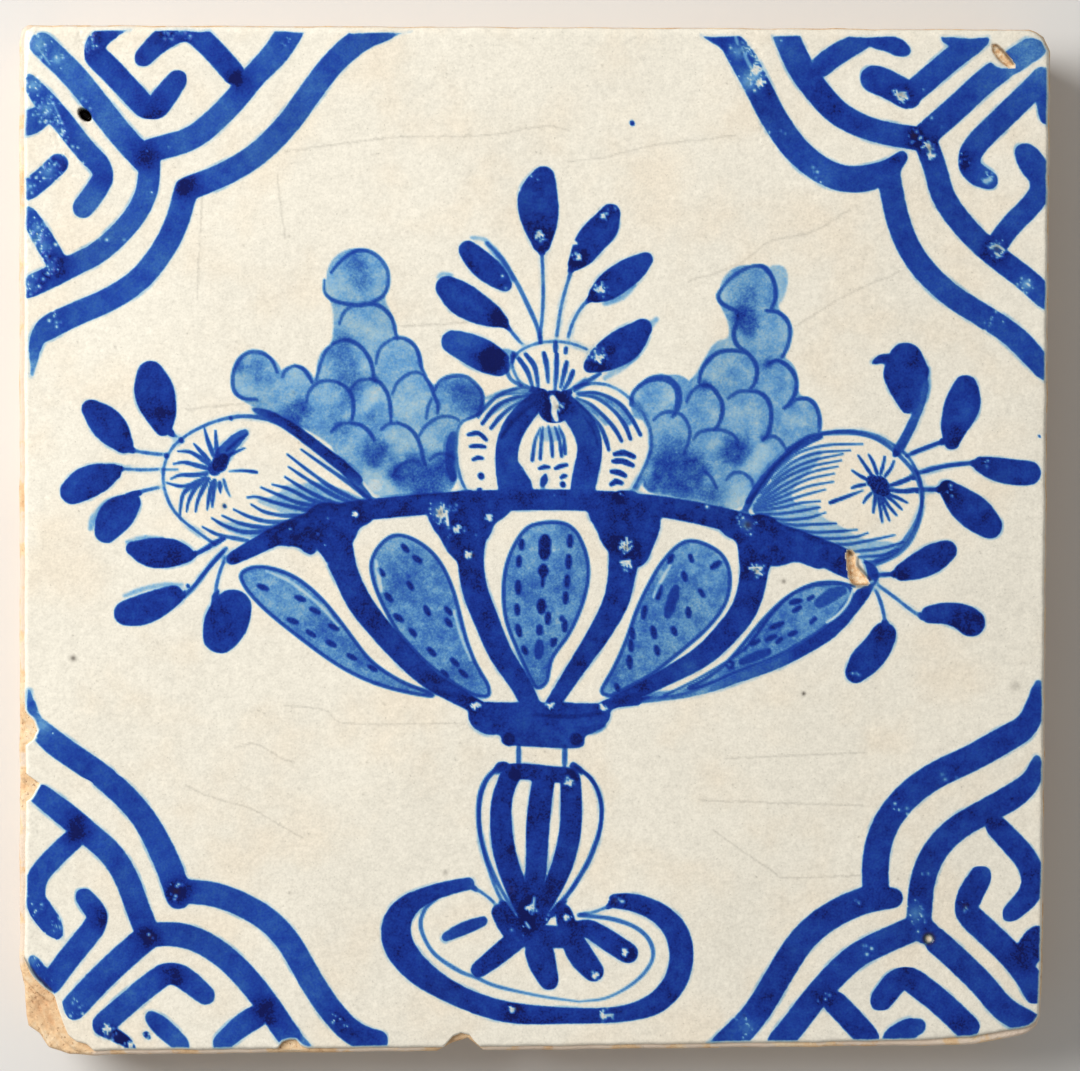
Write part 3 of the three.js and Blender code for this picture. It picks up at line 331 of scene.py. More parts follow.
# Outlines of the outer lobes, and rounded corners of the white fields
LOBES = """
right_lobes 0.44 0.78: 540,425 570,388 612,330 660,282 720,252 780,245 832,256;
right_lobes 0.34 0.66: 330,545 420,500 500,452 545,420;
left_lobes 2 0.88: 560,30 600,90 635,150;
left_lobes 0.9 0.88: 338,105 350,68 385,52;
left_lobes 1.4 0.88: 150,108 200,108 232,135;
left_lobes 1.1 0.88: 700,95 712,55 755,28;
right_lobes 1.6 0.88: 305,75 285,130 262,190 | 140,50 170,100 190,150;
right_lobes 0.9 0.88: 490,108 530,128 545,165;
right_lobes 1.5 0.88: 620,190 680,170 740,195
"""

# Collar, stem and foot
STEM = """
stem 0.55 0.62: 438,70 500,76 560,74 620,66;
stem 0.62>0.36 0.6>0.46: 165,580 126,620 115,670 150,740 220,790 270,810 330,835 450,862 560,878;
stem 0.36>0.66 0.46>0.64: 560,878 640,866 720,820 765,762 760,710 720,670 650,645 560,635;
stem 0.66 0.66: 390,160 390,215 | 520,160 519,215;
stem 0.62>0.5 0.68>0.56: 346,210 302,247 279,309 279,388 298,467 332,546 377,624;
stem 0.52>0.42 0.74>0.56: 548,215 594,251 620,309 622,366 605,433 568,512 501,613;
stem 1.5 0.86: 268,62 280,94 322,112;
stem 1 0.8: 634,62 622,86 592,104;
stem 0.9 0.9: 346,212 330,222 | 545,214 556,224
"""

# Strokes that run off the edges
EDGES = """
sheet 2.6 0.64: 2.6,16 5.2,14.6;
top_right 1.7 0.82: 728,157 800,175 870,205;
sheet 1.5 0.78: 118.3,4.8 120.9,5.6 123,5;
sheet 1.9 0.7: 18.9,127.2 20.9,129 22.9,130.8;
sheet 2.1 0.84: 111.2,129.9 113,128.9 114.9,128.3;
corner_b 2.8 0.8: 738,462 775,520;
corner_b 1.4 0.78: 785,225 790,290 797,360;
corner_d 1.5>0.8 0.9: 300,806 335,822 372,842 398,866;
corner_d 0.9 0.8: 438,824 444,832;
corner_d 1.2 0.76: 98,600 125,640 158,680;
corner_d 2.2 0.76: 100,420 135,465 165,510;
sheet 2.8 0.9: 129.8,116.9 128.6,119 127.6,120.6
"""
BRUSH_LINES = (GRAPES, LEFT_PEAR, RIGHT_PEAR, FRUIT, CROWN, LOBES, STEM, EDGES)

# Small round touches: radius in millimetres, darkness, places
DOTS = """
middle 0.34 0.82: 905,800 900,885 893,950 886,1040 872,1115 835,1205;
fruit 0.4 0.9: 160,376;
fruit 0.36 0.9: 480,409;
left_side 0.85 0.85: 694,624;
left_side 0.22 0.8: 740,793 768,398 575,1152;
left_side 0.3 0.82: 545,497 478,566 716,950;
right_side 1.15 0.97: 392,438;
right_side 0.75 0.95: 372,425 405,452;
right_side 0.3 0.82: 487,415 497,452;
stem 0.75 0.92: 378,238 536,240;
sheet 0.8 0.92: 63.6,92.4 72,92.4;
right 0.14 0.8: 1405,385;
sheet 0.3 0.86: 79,15.4
"""

# Dashes on the pale panels: width, darkness, each dash
DASHES = """
left_side 1.9 0.97: 708,618 736,582;
left_lobes 0.72 0.84: 92,232 112,240 | 192,262 212,270 | 232,294 252,304 | 282,338 302,348 | 170,322 192,330
  | 222,354 240,366 | 276,382 294,392 | 332,418 350,428 | 388,448 404,458;
left_lobes 0.76 0.88: 478,124 490,138 | 508,154 524,166 | 412,188 426,202 | 492,224 502,238 | 434,256
  446,270 | 594,292 606,306 | 458,312 474,324 | 538,290 548,308 | 498,350 510,364 | 596,324 606,338 |
  548,402 562,416 | 610,430 624,444 | 632,460 648,474 | 584,462 596,474;
left_lobes 0.8 0.9: 797,112 796,130 | 790,156 789,176 | 787,222 788,250 | 784,286 786,306 | 786,340 792,364
  | 802,398 808,412;
left_lobes 1.55 0.97: 860,105 858,150;
left_lobes 1.25 0.96: 855,184 855,200 | 850,276 850,298;
left_lobes 0.5 0.95: 854,200 853,232;
left_lobes 1.1 0.86: 845,344 845,356;
left_lobes 1.2 0.7: 845,385 842,420;
right_lobes 0.8 0.9: 80,125 79,148 | 76,178 75,206 | 72,232 71,254 | 68,276 67,298 | 66,350 65,372 | 40,398
  34,412 | 22,330 20,352;
right_lobes 0.78 0.88: 342,192 350,176 | 398,176 402,188 | 456,206 474,194 | 380,222 385,238 | 318,256
  312,286 | 424,268 432,280 | 278,312 274,338 | 392,316 394,334 | 242,370 246,392 | 352,368 358,382 |
  298,366 304,390 | 240,402 242,424 | 236,444 238,470 | 308,418 312,434 | 202,518 208,532;
right_lobes 1.3 0.7: 360,262 348,300 338,332;
right_lobes 0.7 0.84: 664,300 690,294 | 672,322 688,312 | 612,366 642,354 | 660,384 676,378 | 560,410
  578,400 | 600,398 622,388 | 628,404 638,396 | 718,352 728,342 | 712,290 722,284;
right_lobes 1.1 0.66: 536,456 570,442 604,430;
right_lobes 1.6 0.58: 740,300 780,275 800,268;
right_lobes 0.4 0.8: 495,458 503,454 511,460 509,471 500,473 494,466
"""

# Gaps and scratches where the white shows through, and painted highlight glints: width, strength, lines
PALE_LINES = """
fruit 1.1>0.7 0.95: 440,72 452,100 446,128 456,158;
fruit 0.5 0.8: 470,98 480,108;
left_lobes 0.4 0.5: 110,192 165,215 212,248 258,288 305,340;
left_lobes 0.6 0.85: 616,78 624,84 | 706,48 714,54 | 346,36 353,42 | 652,148 658,154 | 676,548 684,553;
stem 0.35 0.8: 434,585 430,625 | 410,655 420,670;
stem 0.5 0.75: 622,918 655,915 | 688,738 693,740 | 603,805 608,806 | 368,900 373,901 | 535,260 537,265;
stem 0.5 0.8: 268,45 274,46 | 623,50 629,51 | 478,45 483,46 | 678,595 684,596;
corner_b 0.5 0.85: 345,285 375,280 | 355,298 372,300 | 742,852 748,858;
corner_b 0.8 0.6: 615,545 630,540;
corner_b 0.45 0.85: 630,745 650,738 672,752 | 645,760 660,770;
left_lobes 0.55 0.6: 405,165 412,205 420,245;
left_lobes 0.4 0.5: 615,300 635,370 660,430;
right_lobes 0.42 0.85: 828,268 815,300 790,330 760,352;
right_lobes 0.42 0.6: 345,200 322,240 300,285;
right_side 0.5 0.6: 318,716 345,720 372,708;
top_right 0.5 0.5: 215,190 235,240 262,290 | 190,150 200,180;
top_left 0.3 0.5: 150,190 200,260 | 215,420 250,500 | 120,940 150,1010 | 180,600 205,650
"""

# Soft changes of the strokes' darkness: x, y, radius and the change in hundredths
TONE_SPOTS = """
top_left: 110,110,120,-8 260,250,150,-5 400,420,150,-3 585,610,80,22 955,320,70,16 740,750,60,20
  600,470,60,14 410,720,50,16 240,1070,60,14 130,300,140,-6 200,560,120,-4 180,700,110,-4 120,960,130,-6
  170,180,90,-3 600,120,120,8 980,100,80,6 160,140,40,-14 330,330,60,-8 90,1000,50,-14;
top: 600,1450,60,26 770,700,60,5 740,1200,60,8 600,1220,60,6;
top_right: 850,380,45,14 905,545,45,14 965,595,50,16 820,650,40,14 1110,640,45,14 310,170,80,-25
  240,330,60,-22 200,210,60,-18 330,545,70,-16 520,720,70,-14 1200,720,50,-18 1235,995,60,12 560,420,90,8
  980,130,90,-10 1355,1140,50,-20 1215,1290,60,-14 1370,190,150,-26 1250,300,120,-10;
left: 1250,330,180,10 1400,480,120,10 920,880,60,10 1180,805,80,8 300,400,90,5 130,620,80,5;
middle: 850,270,85,20 380,690,60,-12 640,120,90,-8 905,110,40,10 1100,700,120,4 800,1450,200,6;
right: 330,580,60,22 240,640,60,22 905,545,40,20 383,968,30,8 1300,430,80,5 640,880,60,8;
low_left: 300,600,70,16 430,960,70,14 600,1030,60,14 710,850,60,12 705,1190,60,12 1060,1330,70,14
  620,1365,60,10 1420,1420,80,12 120,560,90,-12 170,185,70,-10 210,1000,60,-10 130,900,60,-10
  300,1320,70,-12;
stem: 420,600,40,14 415,650,30,14 350,640,30,8 545,660,40,10 380,235,40,8 470,250,40,6;
fruit: 690,40,40,-16 767,125,45,-20 822,235,45,-20 815,310,40,-16 783,376,40,-14;
crown: 240,570,45,14 520,350,45,10 600,480,45,10 610,710,50,12 740,640,60,6 400,280,50,10 120,660,60,-8
  226,726,38,34 205,715,30,10;
left_side: 450,420,90,8 500,1000,110,8 180,330,80,6 210,640,80,5 770,1300,110,7 300,470,50,8 60,690,50,-5
  200,900,80,-3;
right_side: 600,310,40,10 650,230,50,-12 450,690,30,14 640,830,50,6 590,450,40,10 500,60,60,6 690,550,60,4
  400,850,50,5;
foot: 780,560,120,5 640,870,60,6 905,415,50,-6;
right_lobes: 560,480,60,-8 420,530,60,-14;
stem: 450,80,120,-10 560,120,50,-8;
corner_b: -74,215,34,-22;
corner_a: 715,238,30,16 560,565,36,14 440,480,34,14;
corner_d: 440,535,45,12 232,222,36,12 525,400,34,12 320,470,40,12 515,645,40,12 795,755,40,12 325,840,30,14;
low_right: 770,875,70,6 910,940,60,-8 1110,910,60,6 1225,555,60,8 1330,1130,60,8 870,1200,60,8 545,1280,60,6
  1100,1410,60,6 210,1390,60,-14 240,1390,50,-14 860,520,60,-10 715,1105,60,-10 1030,420,60,-12
"""

# The same in the washes, where the paler ones are spread wider
WASH_SPOTS = """
left_bunch: 720,590,45,22 715,700,100,14 760,850,70,20 750,940,60,14 900,815,30,28 450,1000,60,40
  400,1060,70,20 905,1240,65,55 900,1310,40,35 700,1110,70,18 890,1050,70,12 1450,900,90,28 1530,980,40,28
  1030,1390,60,36 1130,1350,90,30 1280,1400,110,30 1200,1480,80,32 800,120,60,20 820,220,70,14 180,760,90,10
  80,750,35,20 640,1000,80,8 1340,1330,50,20 1340,860,60,12 660,240,60,-26 880,230,60,-12 130,870,50,-26
  420,800,45,-24 650,910,70,-18 600,740,40,-20 840,740,35,-26 890,920,55,-26 830,1000,35,-26 1120,980,90,-18
  830,1130,40,-26 1100,1190,80,-22 1240,1180,60,-18 980,1140,40,-18 930,1420,90,-26 880,1460,60,-26
  1000,1480,70,-18 900,590,90,-14 900,520,80,-10 660,450,40,-14;
right_bunch: 740,350,60,50 760,420,50,36 330,1290,100,50 400,1330,80,44 250,1240,60,38 240,1330,60,28
  690,1160,75,40 640,1200,50,28 500,770,35,34 460,1260,50,34 760,230,70,12 880,640,40,24 530,1420,50,24
  860,1090,30,30 320,1150,80,12 150,1380,60,18 610,225,35,-34 720,470,40,-24 950,450,60,-18 510,700,50,-20
  650,640,60,-8 740,950,80,-14 560,970,30,-14 1060,990,70,-12 250,840,90,-12 90,840,30,-22 310,850,25,-28
  180,1260,30,-40 850,1200,70,-28 780,1270,50,-26 710,1420,60,-28 680,1490,50,-32 540,1120,60,-18
  510,1350,30,-20 840,1150,40,-24 280,990,60,-8 620,520,60,-16;
left: 1150,1010,80,-8 1300,1150,80,8 1480,1270,70,10;
middle: 205,820,70,-14 240,960,90,10 360,1160,80,8 470,1330,70,10 790,800,70,-14 720,1000,60,10
  870,980,50,10 790,1330,90,12 1400,850,70,-12 1320,1000,80,6 1200,1130,70,8 1100,1330,80,10;
right: 500,1060,90,-10 330,1180,80,10 200,1290,60,12;
top_right: 400,1120,60,10
"""
PALER_SPREAD = 1.2
PALER_SHARE = 0.42
FULL_WASH = 0.25

# Worn and pitted places, their pits painted pale partly as highlight glints: x, y, radius and how many pits
PITS = """
corner_b: -72,228,30,24 -100,150,26,14 -60,170,24,12;
corner_a: 110,140,40,14 170,180,30,8 100,260,34,12 140,330,44,22 170,400,40,16 215,470,36,10 110,690,40,20
  130,740,40,16 150,800,34,12 90,860,34,10 260,130,34,18 545,90,34,14 150,510,34,10 85,560,30,10
  250,320,26,6;
corner_d: 98,600,30,8 140,660,26,6 325,840,24,8 370,860,16,4 440,830,14,3;
top_left: 340,165,40,12 150,185,60,8 730,115,34,8 665,145,30,5 1135,165,30,4 185,440,50,12 210,520,50,12
  240,600,50,8 300,700,60,6 150,950,60,22 120,1100,60,12 120,1150,40,6 228,1275,40,6 205,1065,40,6
  190,690,60,14 120,760,50,5 500,900,200,5 700,600,120,5;
top: 790,945,26,7 1040,865,20,3 1075,840,20,3 935,1040,30,3 1030,1165,34,9 1015,1425,46,12 700,760,90,3
  600,1130,90,3 1100,1240,90,4 230,915,20,2;
top_right: 850,380,34,8 905,545,30,6 965,595,32,8 1235,995,46,14 1200,720,30,6 240,330,60,12 200,210,50,8
  330,545,60,6 520,720,70,6 1355,1140,40,8 1215,1290,50,7 1000,460,120,5 1100,640,30,4 310,170,80,10;
left: 285,1305,26,5 350,900,100,3 130,650,90,3 1240,800,120,5;
middle: 840,250,14,3 870,250,14,3 850,285,14,3 835,320,12,2 380,690,48,16 430,680,30,6 580,715,18,2
  495,860,14,2 450,770,40,5 1125,830,30,9 1135,905,22,5 1100,630,18,2 50,700,18,2 520,1465,16,2
  820,1470,16,2 1035,1470,16,2 700,700,200,6;
right: 1190,490,22,3 1055,605,22,3 665,1330,28,4 280,920,34,8 230,740,48,16 150,760,120,5;
low_left: 600,1030,12,2 710,850,40,7 170,185,60,9 210,1000,50,6 130,900,50,7 300,1320,40,7 430,1420,36,9
  1365,1360,40,5 590,1430,40,5 510,1480,30,4 130,600,60,7;
foot: 680,1320,16,2 1055,1350,30,5 1085,885,30,4 1130,1095,18,2 1005,1190,20,3 900,960,16,2 750,930,20,3
  735,990,20,2 905,415,24,4 700,950,150,5;
low_right: 685,890,18,3 910,940,54,12 1110,910,22,4 545,1280,30,3 210,1390,50,7 860,520,40,4 715,1105,40,4
  1030,420,50,5 463,65,16,2 1000,900,150,4
"""

# Burst bubbles that ran together into a white star, painted partly as highlight glints: x, y and radius
STARS = """
left_lobes: 582,38,22 626,80,12 710,50,12 655,150,9 350,40,7;
right_lobes: 224,150,20 231,200,14 575,212,20;
crown: 395,268,15 612,466,19 622,202,10 536,350,10 606,712,18 520,300,8;
corner_b: 362,290,18 444,440,15 452,468,13 -72,210,16 -60,250,14;
corner_d: 322,808,16 392,856,10;
stem: 420,612,12 690,738,9 604,806,9 536,262,10 268,46,9 626,51,9 480,46,8 628,918,12 370,900,8 525,640,9
"""

# Small brown or black marks: x, y, radius and strength in hundredths
MARKS = """
left: 293,1275,12,80 895,665,12,50;
top_right: 850,380,14,50 905,545,12,50 965,595,14,50 1235,995,16,60;
middle: 855,268,10,60 383,692,14,60 1128,832,12,60 515,862,8,70;
right: 240,742,16,80 270,925,12,60 383,968,9,70 660,850,14,40;
foot: 690,1322,9,70 1085,888,10,60 670,845,12,40 405,775,10,40;
low_left: 602,1033,10,60 705,852,12,60 440,1422,12,50;
low_right: 1110,910,10,60 463,60,8,95 1310,30,22,30
"""

# Fine cracks of the glaze
CRAZE = """
286,152 344,144 392,138 444,137 494,135 544,127 569,131 | 569,162 604,158 634,150 669,144 736,136 | 399,327
449,324 484,321 | 688,282 738,265 770,242 813,232 850,210 | 795,327 848,295 900,272 | 185,410 262,402 |
202,197 197,300 | 277,175 285,240 | 285,706 325,711 350,724 464,724 | 185,786 215,799 250,809 282,827
302,838 | 725,759 868,753 | 700,801 863,806 | 713,831 778,876 | 780,879 860,876 | 235,748 252,744 265,749
282,759 295,763
"""

# Chips that show clay: depth, width of the slope, outline
CHIPS = """
upper_right 0.45 0.3: 733,70 748,70 763,86 780,106 795,128 776,132 757,118 743,103 734,90;
right_side 0.7 0.35: 297,627 312,615 328,634 325,660 339,677 356,696 366,717 339,722 310,716 303,684
  299,652
"""

# Dark lines along the chips' walls, partly cracks and partly painted shade of the steep walls: width,
# darkness, lines
CRACKS_AND_SHADE = """
upper_right 0.42 0.75: 745,74 765,92 787,120;
right_side 0.4 0.75: 331,642 331,662 346,680 366,704;
right_side 0.6 0.6: 314,717 340,722 362,717;
right_side 0.55 0.75: 305,624 315,634;
upper_right 0.3 0.3: 744,104 760,122;
sheet 0.5 0.7: 2.9,119.8 4.4,121.9 6.4,123.9
"""

# Colours of the glaze by the amount of cobalt, and of the clay by its mottling
CREAM = (240, 233, 216)
COBALT = [
    (0.0, CREAM), (0.12, (211, 219, 216)), (0.26, (156, 193, 213)), (0.4, (102, 157, 203)),
    (0.53, (64, 117, 183)), (0.65, (45, 91, 171)), (0.76, (30, 71, 162)), (0.87, (21, 53, 147)),
    (0.95, (14, 40, 126)), (1.0, (9, 20, 86)),
]
CLAY_TONES = [(0.34, (214, 166, 120)), (0.5, (238, 201, 155)), (0.66, (250, 230, 198))]
WARM_CLOUD = (255, 243, 230)
# Dark brown of marks, grains and dirt, and of painted shade in the nail hole and along the chips' walls
DIRT_AND_SHADE = (44, 28, 17)
# Dark grains of the clay, and painted shade in its rough breaks
GRIT_AND_SHADE = (158, 108, 72)
GLAZE_SMEAR = (232, 214, 196)
FLOOR_GREY = (222, 220, 216)

# The stage, in metres: the whole frame is this wide at the tile's face
FLOOR_HALF = 1.2
VIEW_WIDTH = 0.135
CAMERA_PLACE = (0.0006, 0.0006, 0.75)
SENSOR = 36
WORLD_STRENGTH = 0.28

# Reading the tables


def places(area, text):
    """Places on the sheet, each with whatever numbers follow its x and y."""
    left, top, units = AREAS[area]
    for word in text.split():
        x, y, *others = (float(part) for part in word.split(","))
        yield (left + x / units, top + y / units, *others)


def points_of(area, text):
    return np.array(list(places(area, text)))


def entries(table):
    """Each row of a table: its area, its numbers or pairs of numbers, and the text of its places."""
    for row in table.split(";"):
        head, text = row.split(":")
        area, *numbers = head.split()
        pairs = [tuple(float(part) for part in number.split(">")) for number in numbers]
        yield (area, *(pair if len(pair) > 1 else pair[0] for pair in pairs), text)


def spots_of(table):
    """Every place in a table: x, y and radius in millimetres, then whatever else the table says of it."""
    for area, text in entries(table):
        for x, y, radius, *others in places(area, text):
            yield (x, y, radius / AREAS[area][2], *others)


def starts(name, table, other=None):
    """What a table says of names with this start."""
    return next((value for start, value in table.items() if name.startswith(start)), other)


# Shapes on the sheet


def smoothstep(low, high, value):
    share = np.clip((value - low) / (high - low), 0, 1)
    return share * share * (3 - 2 * share)


def fade(low, high, value):
    """1 up to the low value and 0 from the high one."""
    return 1 - smoothstep(low, high, value)


def ripple(position, seed, wave=3.0):
    """A smooth seeded wander between about -1 and 1 along a line."""
    total = np.zeros_like(position)
    for octave in range(3):
        shift = math.sin(seed * 12.9 + octave * 4.1) * 40
        rate = 2 ** octave / wave
        slow = np.sin(position * rate * 0.83 + shift * 1.7)
        total += np.sin(position * rate * 2.1 + shift) * slow / 2 ** octave
    return total / 1.5


def lumps(x, y, seed, size):
    """Rough seeded lumps between about -1 and 1."""
    turn = seed * 1.7
    total = np.sin(x / size * 2.1 + turn) * np.sin(y / size * 1.9 - turn)
    total += 0.6 * np.sin(x / size * 4.7 - y / size * 1.3 + turn * 2) * np.sin(y / size * 4.1 + turn)
    total += 0.4 * np.sin(x / size * 9.1 + y / size * 2.2) * np.sin(y / size * 8.3 - x / size * 3.1 + turn)
    return total / 1.6


def from_place(place, x, y):
    """How far points are from a place on the sheet."""
    return np.hypot(x - place[0], y - place[1])


def ring_of(grid):
    """The values round the border of a grid, from its first corner."""
    return np.concatenate([grid[0, :], grid[1:, -1], grid[-1, -2::-1], grid[-2:0:-1, 0]])


class Net:
    """A grid of points over the sheet: rows down it and columns across it."""

    def __init__(self, edges, across, down, wander):
        sides = {side: points_of("sheet", text) for side, text in edges.items()}
        u, v = across[None, :], down[:, None]
        weights = ((1 - u) * (1 - v), u * (1 - v), u * v, (1 - u) * v)
        plain_x, plain_y = (sum(w * c for w, c in zip(weights, line)) for line in sides["corners"].T)

        def edge(side, along, seed, share):
            """Where an edge is at each place along it, with a wander that ends at its corners."""
            known, wanted = sides[side].T if side in ("top", "bottom") else sides[side].T[::-1]
            inner = np.minimum(1, np.minimum(share, 1 - share) * 25) * wander
            return np.interp(along, known, wanted) + ripple(along, seed) * inner

        from_top, from_left = fade(0, EDGE_REACH, v), fade(0, EDGE_REACH, u)
        from_low, from_right = fade(0, EDGE_REACH, 1 - v), fade(0, EDGE_REACH, 1 - u)
        top = edge("top", plain_x[:1], 1, u) - plain_y[:1]
        low = edge("bottom", plain_x[-1:], 2, u) - plain_y[-1:]
        self.y = plain_y + top * from_top + low * from_low
        left = edge("left", self.y[:, :1], 3, v) - plain_x[:, :1]
        right = edge("right", self.y[:, -1:], 4, v) - plain_x[:, -1:]
        self.x = plain_x + left * from_left + right * from_right
        self.col_low, self.col_high = self.x.min(0), self.x.max(0)
        self.row_low, self.row_high = self.y.min(1), self.y.max(1)

    def window(self, low, high):
        """The part of the net that holds a box, empty where the box is off the net."""
        cols = np.flatnonzero((self.col_high >= low[0]) & (self.col_low <= high[0]))
        rows = np.flatnonzero((self.row_high >= low[1]) & (self.row_low <= high[1]))
        if not len(cols) or not len(rows):
            return slice(0), slice(0)
        return slice(rows[0], rows[-1] + 1), slice(cols[0], cols[-1] + 1)

    def border(self):
        """The outline of the net as one closed loop."""
        return np.stack([ring_of(self.x), ring_of(self.y)], axis=1)

    def capsule(self, a, b, margin):
        """Window round the piece from a to b, each x, y and width, and how far inside it each point is."""
        reach = max(a[2], b[2]) / 2 + margin
        where = self.window(np.minimum(a, b)[:2] - reach, np.maximum(a, b)[:2] + reach)
        along = b[:2] - a[:2]
        away_x, away_y = self.x[where] - a[0], self.y[where] - a[1]
        t = np.clip((away_x * along[0] + away_y * along[1]) / max(along @ along, 1e-12), 0, 1)
        gap = np.hypot(away_x - t * along[0], away_y - t * along[1])
        return where, (a[2] + (b[2] - a[2]) * t) / 2 - gap

    def signed(self, loops, margin=1.2, reach=2.4):
        """Window round closed loops, and the distance from their edge, positive inside."""
        corners = np.vstack(loops)
        whole = self.window(corners.min(0) - margin, corners.max(0) + margin)
        gap = np.full(self.x.shape, reach)
        inside = np.zeros(self.x.shape, bool)
        for loop in loops:
            for a, b in zip(loop, np.roll(loop, -1, axis=0)):
                where, here = self.capsule(np.append(a, 0), np.append(b, 0), reach)
                gap[where] = np.minimum(gap[where], -here)
                if a[1] == b[1]:
                    continue
                band = self.window((-math.inf, min(a[1], b[1])), (math.inf, max(a[1], b[1])))[0]
                x, y = self.x[band, whole[1]], self.y[band, whole[1]]
                crosses = (a[1] > y) != (b[1] > y)
                meets = x < a[0] + (b[0] - a[0]) * (y - a[1]) / (b[1] - a[1])
                inside[band, whole[1]] ^= crosses & meets
        return whole, np.where(inside, gap, -gap)[whole]


def smooth_line(points, width, step=0.35):
    """Even samples x, y, width of a smooth line through the points."""
    knots = np.array([(x, y, width) for x, y in points], float)
    if len(knots) < 3:
        count = max(2, int(np.hypot(*(knots[-1] - knots[0])[:2]) / step) + 1)
        return np.linspace(knots[0], knots[-1], count)
    padded = np.vstack([2 * knots[0] - knots[1], knots, 2 * knots[-1] - knots[-2]])
    samples = []
    for a, b, c, d in zip(padded, padded[1:], padded[2:], padded[3:]):
        count = max(1, int(np.hypot(*(c - b)[:2]) / step))
        t = np.linspace(0, 1, count, endpoint=False)[:, None]
        square = (2 * a - 5 * b + 4 * c - d) * t ** 2
        cube = (3 * b - a - 3 * c + d) * t ** 3
        samples.append(0.5 * (2 * b + (c - a) * t + square + cube))
    samples.append(knots[-1:])
    line = np.vstack(samples)
    line[:, 2] = width
    return line


def rounded(loop, rounds=2):
    """Cuts the corners of a closed loop, so that facets become a smooth edge."""
    for _ in range(rounds):
        ahead = np.roll(loop, -1, axis=0)
        loop = np.stack([0.75 * loop + 0.25 * ahead, 0.25 * loop + 0.75 * ahead], axis=1).reshape(-1, 2)
    return loop


def outline_edges(node, fineness):
    """Edges round the top of a painted solid, from each whole-number corner to the next ones."""
    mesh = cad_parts[node].data
    points = np.array([v.co for v in mesh.vertices]) / METRE
    top = points[:, 2].max() - 0.01
    keys = [tuple(p) for p in np.round(points[:, :2] * fineness).astype(int)]
    edges = set()
    for face in mesh.polygons:
        if all(points[i, 2] > top for i in face.vertices):
            ring = [keys[i] for i in face.vertices]
            edges.update(zip(ring, ring[1:] + ring[:1]))
    ahead = {}
    for start, end in sorted(edges):
        if (end, start) not in edges and start != end:
            ahead.setdefault(start, []).append(end)
    return ahead


def loops_of(node, fineness=500):
    """Closed loops round the top of a painted solid, on the sheet."""
    ahead = outline_edges(node, fineness)
    loops = []
    while ahead:
        start = at = next(iter(ahead))
        loop = []
        while at in ahead:
            loop.append(at)
            following = ahead[at].pop()
            if not ahead[at]:
                del ahead[at]
            at = following
            if at == start:
                break
        if len(loop) > 2:
            corners = np.array(loop, float) / fineness
            x, y = corners[:, 0] + SHEET_CENTRE[0], SHEET_CENTRE[1] - corners[:, 1]
            loops.append(np.stack([x, y], axis=1))
    return loops


# Painting, in layers of numbers on the points of the glaze net

even = np.linspace(0, 1, GLAZE_LINES + 1)
net = Net(GLAZE, even, even, GLAZE_WANDER)
rim = net.signed([net.border()])[1]
layers = {name: np.zeros_like(net.x) for name in ("line", "wash", "pale", "craze", "bare", "dark")}
layers["ink"] = np.full_like(net.x, NO_INK)
height = np.zeros_like(net.x)
tone_sum = np.zeros_like(net.x)
tone_weight = np.full_like(net.x, 1e-6)
EVERYWHERE = slice(None)


def raise_to(name, where, amount):
    layers[name][where] = np.maximum(layers[name][where], amount)


def merge_ink(where, inside, tone):
    """Joins a stroke to the ink, so that narrow gaps between strokes run together."""
    old = layers["ink"][where]
    share = np.clip(0.5 + 0.5 * (inside - old) / MERGE, 0, 1)
    layers["ink"][where] = old + (inside - old) * share + MERGE * share * (1 - share)
    weight = np.exp(np.clip(inside, -2, 1.2) / 0.35)
    tone_sum[where] += weight * tone
    tone_weight[where] += weight


def within(area, outline):
    """Window round an outline in a table, and the distance from its edge, positive inside."""
    return net.signed([rounded(points_of(area, outline))])


def spot(x, y, radius):
    """Window round a soft round spot, and how strong it is there."""
    reach = 2.5 * radius
    where = net.window((x - reach, y - reach), (x + reach, y + reach))
    return where, np.exp(-((net.x[where] - x) ** 2 + (net.y[where] - y) ** 2) / radius ** 2)


def peak_near(values):
    """Highest value within reach of each point of a window."""
    reach = max(1, round(PEAK_REACH * GLAZE_LINES / TILE))
    for axis in (0, 1):
        pad = [(reach, reach) if axis == side else (0, 0) for side in (0, 1)]
        padded = np.pad(values, pad, mode="edge")
        shifts = [range(s, s + values.shape[axis]) for s in range(2 * reach + 1)]
        values = np.max([np.take(padded, shift, axis) for shift in shifts], axis=0)
    return values


def paint_solids():
    """The brushwork of the solids: bold strokes as ink, pale panels as a wash with a fine border."""
    for name in sorted(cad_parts):
        amount, tone = starts(name, WASHES), starts(name, TONES)
        if amount is None and tone is None:
            continue
        where, inside = net.signed([rounded(loop) for loop in loops_of(name)])
        if amount is None:
            thick = smoothstep(0.45, 0.8, peak_near(inside))
            wider = starts(name, WIDER, 0.1) * thick - THIN_TRIM * (1 - thick)
            merge_ink(where, inside + wider, tone * (THIN_SHARE + (1 - THIN_SHARE) * thick))
            continue
        raise_to("wash", where, amount * smoothstep(-0.14, 0.14, inside))
        if name.startswith("dish_lobe"):
            raise_to("line", where, 0.68 * fade(0.1, 0.36, np.abs(inside)))


